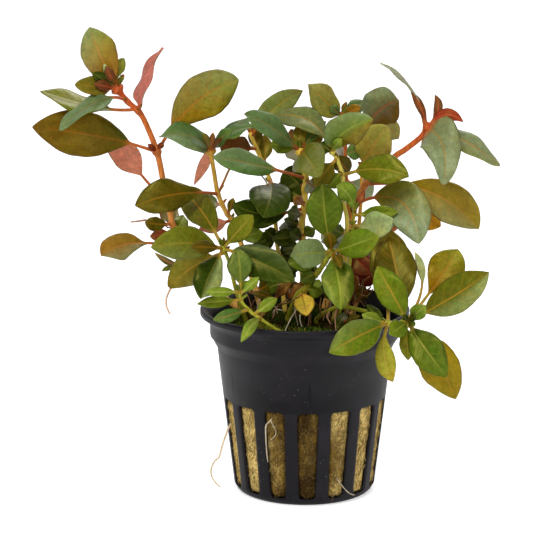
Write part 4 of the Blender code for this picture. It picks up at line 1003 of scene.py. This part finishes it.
        "brown": (405, 320, 388, 237, -12, 11.2, "oliveDark",
            dict(via=(398, 279), arch=0, stalk=0.2, widest=0.53)),
        "tall": (388, 325, 391, 229, -4, 10.6, "olive", dict(via=(389, 272), arch=-1, stalk=0.25)),
        "left": (388, 326, 329, 353, -36, 8.6, "greenWarm",
            dict(via=(359, 336), arch=3, stalk=0.08, bloom=(0, 0.1, 0.2))),
        "yellow": (388, 326, 393, 382, -30, 5.2, "yellowGreen", dict(via=(384, 352), arch=0, widest=0.6)),
    }, [
        (386, 325, 362, 314, -25, 3.6, "greenBright"), (386, 325, 367, 305, -17, 3, "greenDark"),
        (409, 321, 425, 305, -31, 4.2, "greenBright"), (411, 321, 389, 334, -32, 5.2, "green"),
        (406, 322, 408, 360, -27, 4.2, "oliveGreen"),
        (409, 320, 415, 252, -10, 2.3, "mist", dict(via=(422, 286), stalk=0.55)),
        (410, 321, 415, 315, -31, 1.8, "greenDark"), (408, 321, 403, 315, -31, 1.8, "greenDark"),
        (410, 322, 414, 326, -31, 1.8, "greenDeep"),
    ]),
    "centre": (0.85, "green", 4, [
        (288, 314, -2), (297, 296, -5), (305, 288, -7), (318, 272, -10), (325, 262, -12), (333, 250, -14),
    ], {
        "up": (333, 250, 323, 183, -12, 9.6, "greenDeep", dict(via=(325, 216), stalk=0.2)),
        "left": (332, 252, 290, 256, -25, 7.8, "green",
            dict(via=(311, 253), stalk=0.1, bloom=(0.55, 0.1, 0))),
        "right": (333, 250, 379, 236, -24, 7.6, "green", dict(via=(356, 244), stalk=0.1)),
        "down": (332, 252, 341, 310, -25, 8.6, "green",
            dict(via=(338, 278), stalk=0.1, blunt=0.74, patch=("greenDark", -1, 0.7, 0.7),
                 bloom=(0.02, 0, 0.15))),
    }, [
        (333, 250, 328, 233, -20, 3.6, "oliveDark"), (333, 250, 341, 268, -22, 2.6, "oliveDark"),
        (325, 262, 288, 262, -12, 5.4, "greenDeep"), (318, 272, 300, 281, -8, 4.4, "greenDeep"),
        (305, 288, 323, 293, -8, 4, "green"), (312, 282, 322, 285, -12, 2.4, "greenBright"),
    ]),
    "rosette": (0.6, "green", 4, [
        (246, 322, -6), (236, 290, -10), (229, 262, -13), (222, 246, -15),
    ], {
        "up": (223, 248, 181, 189, 9, 8.2, "oliveDeep", dict(via=(203, 213), stalk=0.2)),
        "left": (222, 246, 151, 248, -24, 9, "oliveGreen",
            dict(via=(187, 243), stalk=0.1, bloom=(0, 0.1, -0.15))),
        "right": (223, 248, 295, 281, -22, 9.2, "greenDark",
            dict(via=(258, 261), stalk=0.12, bloom=(0.08, -0.15, -0.2))),
        "down": (223, 249, 201, 299, -25, 7.6, "greenDark",
            dict(via=(209, 276), stalk=0.1, patch=("mist", -1, 0.75, 0.75))),
        "olive": (225, 253, 169, 287, -8, 8.8, "olive", dict(via=(196, 265), stalk=0.2)),
    }, [
        (223, 247, 253, 215, -17, 6.2, "oliveGreen"), (222, 247, 191, 247, -26, 3.6, "oliveDark"),
    ]),
    "runner": (0.5, "green", 4, [
        (287, 339, -19), (277, 330, -21), (262, 320, -22), (250, 311, -22), (241, 300, -22),
        (240, 288, -22),
    ], {}, [
        (240, 290, 237, 249, -20, 6.6, "greenDeep", dict(via=(240, 268), bloom=(0.12, 0, 0))),
        (241, 294, 259, 277, -24, 2.6, "greenBright"), (240, 292, 205, 292, -26, 2.8, "greenBright"),
        (241, 299, 197, 304, -20, 3.2, "green"), (248, 310, 213, 320, -26, 3.6, "greyGreen"),
        (254, 314, 277, 298, -19, 3.4, "greenBright"),
        (261, 319, 241, 342, -34, 3.2, "greenBright", dict(via=(252, 325), arch=3)),
    ]),
    "thin": (0.45, "green", 4, [
        (338, 317, -5), (349, 270, -6), (352, 235, -6), (355, 208, -6),
    ], {}, [
        (353, 226, 393, 219, -16, 7.2, "mist", dict(via=(374, 225))),
        (354, 215, 398, 212, -9, 4.2, "green"),
        (355, 209, 336, 186, -11, 5.2, "greenBright", dict(via=(348, 194))),
        (355, 209, 365, 190, -4, 1.8, "red"), (355, 211, 349, 196, -8, 2.2, "greenBright"),
    ]),
}


class Shoot:
    # a stem along its stops, from the rock wool to its tip, and what grows on it

    def __init__(self, key, radius, look, tipBuds, stops, large, small):
        self.key = key
        self.radius = radius
        self.foot, self.tip, self.stalk, self.buds, self.redness = stems[look]
        points = [place(stop) for stop in stops]
        points[0][2] = woolHeight(points[0][0], points[0][1]) + growth["stemGap"] + self.radius
        self.line = smoothPath(points, growth["step"])
        self.rng = np.random.default_rng(len(key) * 101 + ord(key[0]))
        self.small = []
        self.joints = []
        for name, leaf in large.items():
            self.addLeaf(name, *leaf)
        for leaf in small:
            self.addLeaf(None, *leaf)
        self.addBuds(tipBuds)
        self.addStem()
        makePiece("young_leaves_" + key, joined(self.small), leafSkin, "leaf_green", "stem_" + key)

    def shape(self, start, middle, end, width, look, options, grid):
        row = {**plainLeaf, "width": width, "look": look, "stalkColour": self.stalk, **options}
        return leafShape(start, middle, end, row, grid, self.rng)

    def addLeaf(self, name, x, y, tipX, tipY, depth, width, look, options=None):
        # a leaf without a name is a small one, and all the small ones of a shoot make one piece
        options = options or {}
        line = self.line[:-2]
        joint = int(np.argmin(((seenAt(line) - np.array((x, y), dtype=float)) ** 2).sum(axis=1)))
        self.joints.append(joint)
        pixel = options.get("via") or ((x + tipX) / 2, (y + tipY) / 2)
        arch = options.get("arch", plainLeaf["arch"])
        middle = place((*pixel, (line[joint][1] + depth) / 2 - arch))
        start = line[joint] + unit(middle - line[joint]) * self.radius * 0.4
        grid = blades["largeGrid"]
        if not name:
            grid = blades["smallGrid"] if width > blades["tinyWidth"] else blades["tinyGrid"]
        shape = self.shape(start, middle, place((tipX, tipY, depth)), width, look, options, grid)
        if not name:
            self.small.append(shape)
            return
        # leaves with much painted sheen get the waxy skin, as do those of the looks in waxyLooks
        waxy = max(map(abs, options.get("bloom", plainLeaf["bloom"]))) > 0.3 or look in waxyLooks
        name = self.key + "_" + name
        makePiece("blade_" + name, shape, waxySkin if waxy else leafSkin,
                  slotOfLook.get(look, "leaf_green"), "leaf_" + name)

    def addBud(self, at, way, length):
        end = at + unit(way) * (self.radius + length)
        middle = (at + end) / 2 + np.array([0, 0, 0.15 * length])
        turn = self.rng.uniform(-60, 60)
        look = self.buds[self.rng.integers(4)]
        options = {"turn": turn, "fold": 0.4, "stalk": 0.2, "widest": 0.45}
        self.small.append(self.shape(at, middle, end, 0.40 * length, look, options, blades["budGrid"]))

    def addBuds(self, atTip):
        # one or two tiny leaves beside each joint, pointing outwards and up, and a few round the tip
        joints = sorted(self.joints)
        apart = [joint for joint, last in zip(joints, [-99, *joints]) if joint - last > growth["budsApart"]]
        for joint in apart:
            for side in self.rng.uniform(0, fullTurn, 1 + joint % 2):
                way = np.array([math.cos(side), math.sin(side), self.rng.uniform(0.4, 1.4)])
                self.addBud(self.line[joint], way, self.rng.uniform(1.2, 2.4))
        for side in self.rng.uniform(0, fullTurn, atTip):
            way = np.array([math.cos(side), math.sin(side), 1.5])
            self.addBud(self.line[-3], way, self.rng.uniform(2.0, 3.6))

    def addStem(self):
        # the stem tapers to its tip, swells and reddens where leaves leave it, and starts inside the wool
        count, sides, sunk = len(self.line), growth["sides"], growth["sunkRings"]
        share = np.arange(count) / (count - 1)
        radii = self.radius * (1 - growth["taper"] * share)
        reddened = np.zeros(count)
        for joint in self.joints:
            near = np.exp(-(((np.arange(count) - joint) * growth["step"] / growth["swellReach"]) ** 2))
            radii = radii + growth["swell"] * self.radius * near
            reddened = np.maximum(reddened, near)
        below = self.line[:1] - np.array([[0.0, 0.0, 1.0]]) * np.linspace(4.0, 0.5, sunk)[:, None]
        path = np.concatenate([below, self.line])
        verts, faces = tube(path, np.concatenate([np.full(sunk, radii[0]), radii]), sides)
        foot, tip = np.array(self.foot), np.array(self.tip)
        shade = foot + (tip - foot) * share[:, None]
        shade = shade + (np.array(jointRed) - shade) * self.redness * reddened[:, None]
        shade = np.concatenate([np.repeat(shade[:1] * 0.6, sunk, axis=0), shade])
        colour = np.concatenate([np.repeat(shade, sides, axis=0), shade[-1:], shade[:1]])
        makePiece("stem_" + self.key + "_skin", (verts, faces, {"colour": colour}, {}), stemSkin, "stem",
                  "stem_" + self.key)


roots = {
    "pale": (0.60, 0.50, 0.36),
    "brown": (0.20, 0.095, 0.03),
    "pink": (0.52, 0.26, 0.15),
    "cream": (0.85, 0.55, 0.38),
    "straw": (0.85, 0.66, 0.42),
    "red": (0.34, 0.09, 0.03),
    "twig": (0.62, 0.26, 0.06),
}
# Each root that the picture shows: its colour, its radius and its stops
rootRows = [
    ("pale", 0.22, [(277, 413, -18.4), (270, 421, -19.4), (266, 426, -19.8), (266, 440, -19.4),
                    (267, 455, -19.1), (268, 462, -18.4)]),
    ("pale", 0.16, [(271, 421, -19.4), (276, 433, -19.4), (271, 440, -18.8)]),
    ("pale", 0.20, [(333, 464, -15.5), (334, 472, -17), (338, 480, -17), (343, 487, -16.2),
                    (349, 493, -15.2), (354, 495, -13.8)]),
    ("straw", 0.29, [(233, 421, -5), (229, 427, -6.4), (224, 440, -8), (221, 450, -8.2), (219, 457, -8),
                     (214, 462, -7.4), (211, 470, -6.8), (212, 477, -6.6), (215, 482, -6.8), (220, 487, -7)]),
    ("cream", 0.34, [(196, 266, 8), (182, 279, 6), (172, 287, 4), (168, 294, 3), (166, 301, 3),
                     (167, 308, 2), (170, 314, 2)]),
    ("pale", 0.16, [(296, 310, -12), (290, 320, -16), (285, 331, -19)]),
    ("brown", 0.24, [(278, 305, -6), (290, 302, -8), (303, 294, -9)]),
    ("brown", 0.22, [(321, 298, -8), (320, 306, -9), (321, 315, -9)]),
    ("brown", 0.20, [(326, 300, -8), (325, 311, -9), (323, 321, -10)]),
    ("pink", 0.20, [(329, 312, -10), (327, 317, -12), (331, 324, -13)]),
    ("pink", 0.22, [(337, 309, -10), (335, 317, -13), (336, 331, -15)]),
    ("pale", 0.15, [(300, 314, -12), (300, 320, -13), (302, 327, -14)]),
    ("brown", 0.22, [(354, 299, 0), (360, 301, -1), (365, 307, -1)]),
    ("pale", 0.14, [(314, 487, -16), (321, 485, -16.6), (327, 481, -16.2)]),
    ("pale", 0.14, [(325, 503, -15.2), (330, 500, -15.8), (334, 495, -15.4)]),
    ("brown", 0.26, [(363, 280, 2), (362, 289, 1), (361, 299, 0)]),
    ("brown", 0.24, [(360, 295, -2), (367, 296, -2), (373, 289, -2)]),
    ("red", 0.34, [(350, 301, 4), (356, 291, 3), (363, 282, 2), (369, 276, 2)]),
    ("red", 0.30, [(353, 304, 2), (362, 295, 1), (371, 287, 0)]),
    ("brown", 0.28, [(160, 213, 6), (163, 222, 6), (168, 228, 7)]),
    ("pink", 0.30, [(146, 220, 4), (139, 221, 2), (131, 222, 1)]),
    ("twig", 0.36, [(219, 192, 4), (224, 181, 6), (229, 170, 8), (237, 157, 9)]),
    ("brown", 0.26, [(255, 168, 8), (260, 174, 3), (265, 180, -4), (268, 186, -8)]),
]
# The stops of the feet by which more roots leave the stems for the wool
rootFeet = ((240, 312, 8), (262, 314, 4), (285, 314, 6), (304, 318, 2), (334, 316, -2), (338, 309, 13),
            (346, 311, 9), (325, 314, 10), (352, 309, 6), (316, 318, -4), (288, 314, -2), (338, 317, -5))


def rootPart(points, radius, thin, sides, look):
    # a tube along the points that gets thinner by the share thin
    path = smoothPath(points, 0.4)
    verts, faces = tube(path, radius * (1 - thin * np.linspace(0, 1, len(path))), sides)
    return verts, faces, {"colour": np.repeat([roots[look]], len(verts), axis=0)}, {}


def buildRoots():
    # the roots of the rows, and three by each foot, at random
    parts = []
    for look, radius, stops in rootRows:
        parts.append(rootPart([place(stop) for stop in stops], radius, 0.3, 8, look))
    rng = np.random.default_rng(31)
    for foot in np.repeat(rootFeet, 3, axis=0):
        start = place(foot) + np.array([0, 0, rng.uniform(0.5, 8.0)])
        swing = rng.uniform(0, fullTurn)
        reach = rng.uniform(1.5, 5.0)
        way = np.array([math.cos(swing), math.sin(swing), 0])
        end = start + way * reach
        end[:2] *= min(1.0, (pot["topRadius"] - 1.0) / math.hypot(end[0], end[1]))
        end[2] = woolHeight(end[0], end[1]) - 0.3
        bow = (start + end) / 2 + (way + np.array([0, 0, 1.2])) * rng.uniform(0, 1.2)
        radius = rng.uniform(0.10, 0.20)
        look = ("pale", "brown", "pink")[rng.integers(3)]
        parts.append(rootPart([start, bow, end], radius, 0, 6, look))
    makePiece("fine_roots", joined(parts), stemSkin, "stem")


# Dead and half-buried leaves on the wool: the stops of the base, the middle and the tip, width, look and turn
fallen = [
    ((301, 293, -6), (304, 303, -10), (307, 316, -13), 5.6, "dead", 0),
    ((304, 281, -2), (298, 288, -4), (290, 298, -4), 3.0, "deadBrown", 30),
    ((276, 298, -3), (282, 290, -5), (291, 283, -4), 2.8, "deadBrown", 10),
    ((348, 312, -4), (341, 320, -9), (337, 331, -11), 2.6, "greenDark", 0),
    ((250, 292, -4), (262, 295, -8), (276, 300, -9), 2.2, "oliveDark", 20),
    ((174, 266, 4), (168, 268, 1), (162, 271, -1), 1.4, "green", 0),
    ((256, 322, -12), (262, 314, -15), (272, 306, -15), 3.0, "brown", 60),
    ((345, 322, -13), (352, 318, -15), (360, 316, -15), 2.2, "olive", 40),
]


def buildFallen():
    rng = np.random.default_rng(21)
    parts = []
    for *stops, width, look, turn in fallen:
        row = {**plainLeaf, "turn": turn, "fold": 0.2, "stalk": 0.06, "width": width, "look": look,
               "stalkColour": stems["tan"][2]}
        parts.append(leafShape(*map(place, stops), row, blades["fallenGrid"], rng))
    makePiece("fallen_leaves", joined(parts), leafSkin, "leaf_brown")


for key, row in shoots.items():
    Shoot(key, *row)
buildPot()
buildWool()
buildFibres()
buildMoss()
buildRoots()
buildFallen()

light = {
    "skyFront": 0.13,      # brightness behind the camera, as light
    "skyBack": 0.60,       # brightness behind the plant, as light
    "backdrop": 1.0,       # brightness as seen
    "lamps": {"key": (8.6, (-0.35, -0.75, 1.0)), "fill": (2.6, (0.30, -1.0, 0.50)),
              "back": (4.5, (0.3, 0.7, 0.9))},    # watts and place, in metres
    "lampSize": 0.5,       # metres
    "floor": (0.9, 0.9, 0.9),
    "floorReach": 3.0,     # metres
    "floorGlow": 0.15,     # brightness as light
    "floorSeen": 0.55,     # brightness as seen
}


def buildStudio():
    # a pale floor, a pale sky, three soft lights and the picture's camera
    paint = Paint("studioFloor", Base_Color=light["floor"], Roughness=0.8, Specular_IOR_Level=0.1,
                  Emission_Strength=1.0)
    seen = paint.node("ShaderNodeLightPath", None, None, "Is Camera Ray")
    paint.set(Emission_Color=paint.mix((light["floorGlow"],) * 3, (light["floorSeen"],) * 3, seen))
    mesh = bpy.data.meshes.new("studio_floor")
    reach = light["floorReach"]
    mesh.from_pydata([(-reach, -reach, 0), (reach, -reach, 0), (reach, reach, 0), (-reach, reach, 0)], [],
                     [(0, 1, 2, 3)])
    mesh.materials.append(paint.made)
    floor = bpy.data.objects.new("studio_floor", mesh)
    scene.collection.objects.link(floor)

    sky = Paint("studioSky", bpy.data.worlds, "Background", Color=(1, 1, 1))
    way = sky.node("ShaderNodeTexCoord", None, None, "Generated")
    depth = sky.node("ShaderNodeSeparateXYZ", None, {"Vector": way}, "Y")
    fade = {"Value": depth, "From Min": -0.3, "From Max": 0.8, "To Min": light["skyFront"],
            "To Max": light["skyBack"]}
    values = {"Factor": sky.node("ShaderNodeLightPath", None, None, "Is Camera Ray"),
              "A": sky.node("ShaderNodeMapRange", None, fade), "B": light["backdrop"]}
    sky.set(Strength=sky.node("ShaderNodeMix", None, values, "Result"))
    scene.world = sky.made

    for key, (watts, spot) in light["lamps"].items():
        lamp = bpy.data.lights.new(key + "Light", "AREA")
        lamp.energy = watts
        lamp.size = light["lampSize"]
        made = bpy.data.objects.new(key + "Light", lamp)
        scene.collection.objects.link(made)
        made.location = spot
        aim = -made.location.normalized()
        made.rotation_euler = aim.to_track_quat("-Z", "Y").to_euler()
    lens = bpy.data.cameras.new("pictureCamera")
    lens.sensor_width = 36.0
    lens.lens = picture["focal"] * lens.sensor_width / (2 * picture["centre"])
    lens.clip_start = 0.01
    camera = bpy.data.objects.new("pictureCamera", lens)
    scene.collection.objects.link(camera)
    camera.location = [length * mm for length in picture["place"]]
    camera.rotation_euler = (math.pi / 2 - picture["down"], 0, 0)
    scene.camera = camera
    scene.view_settings.view_transform = "Standard"


buildStudio()
print("studio built")
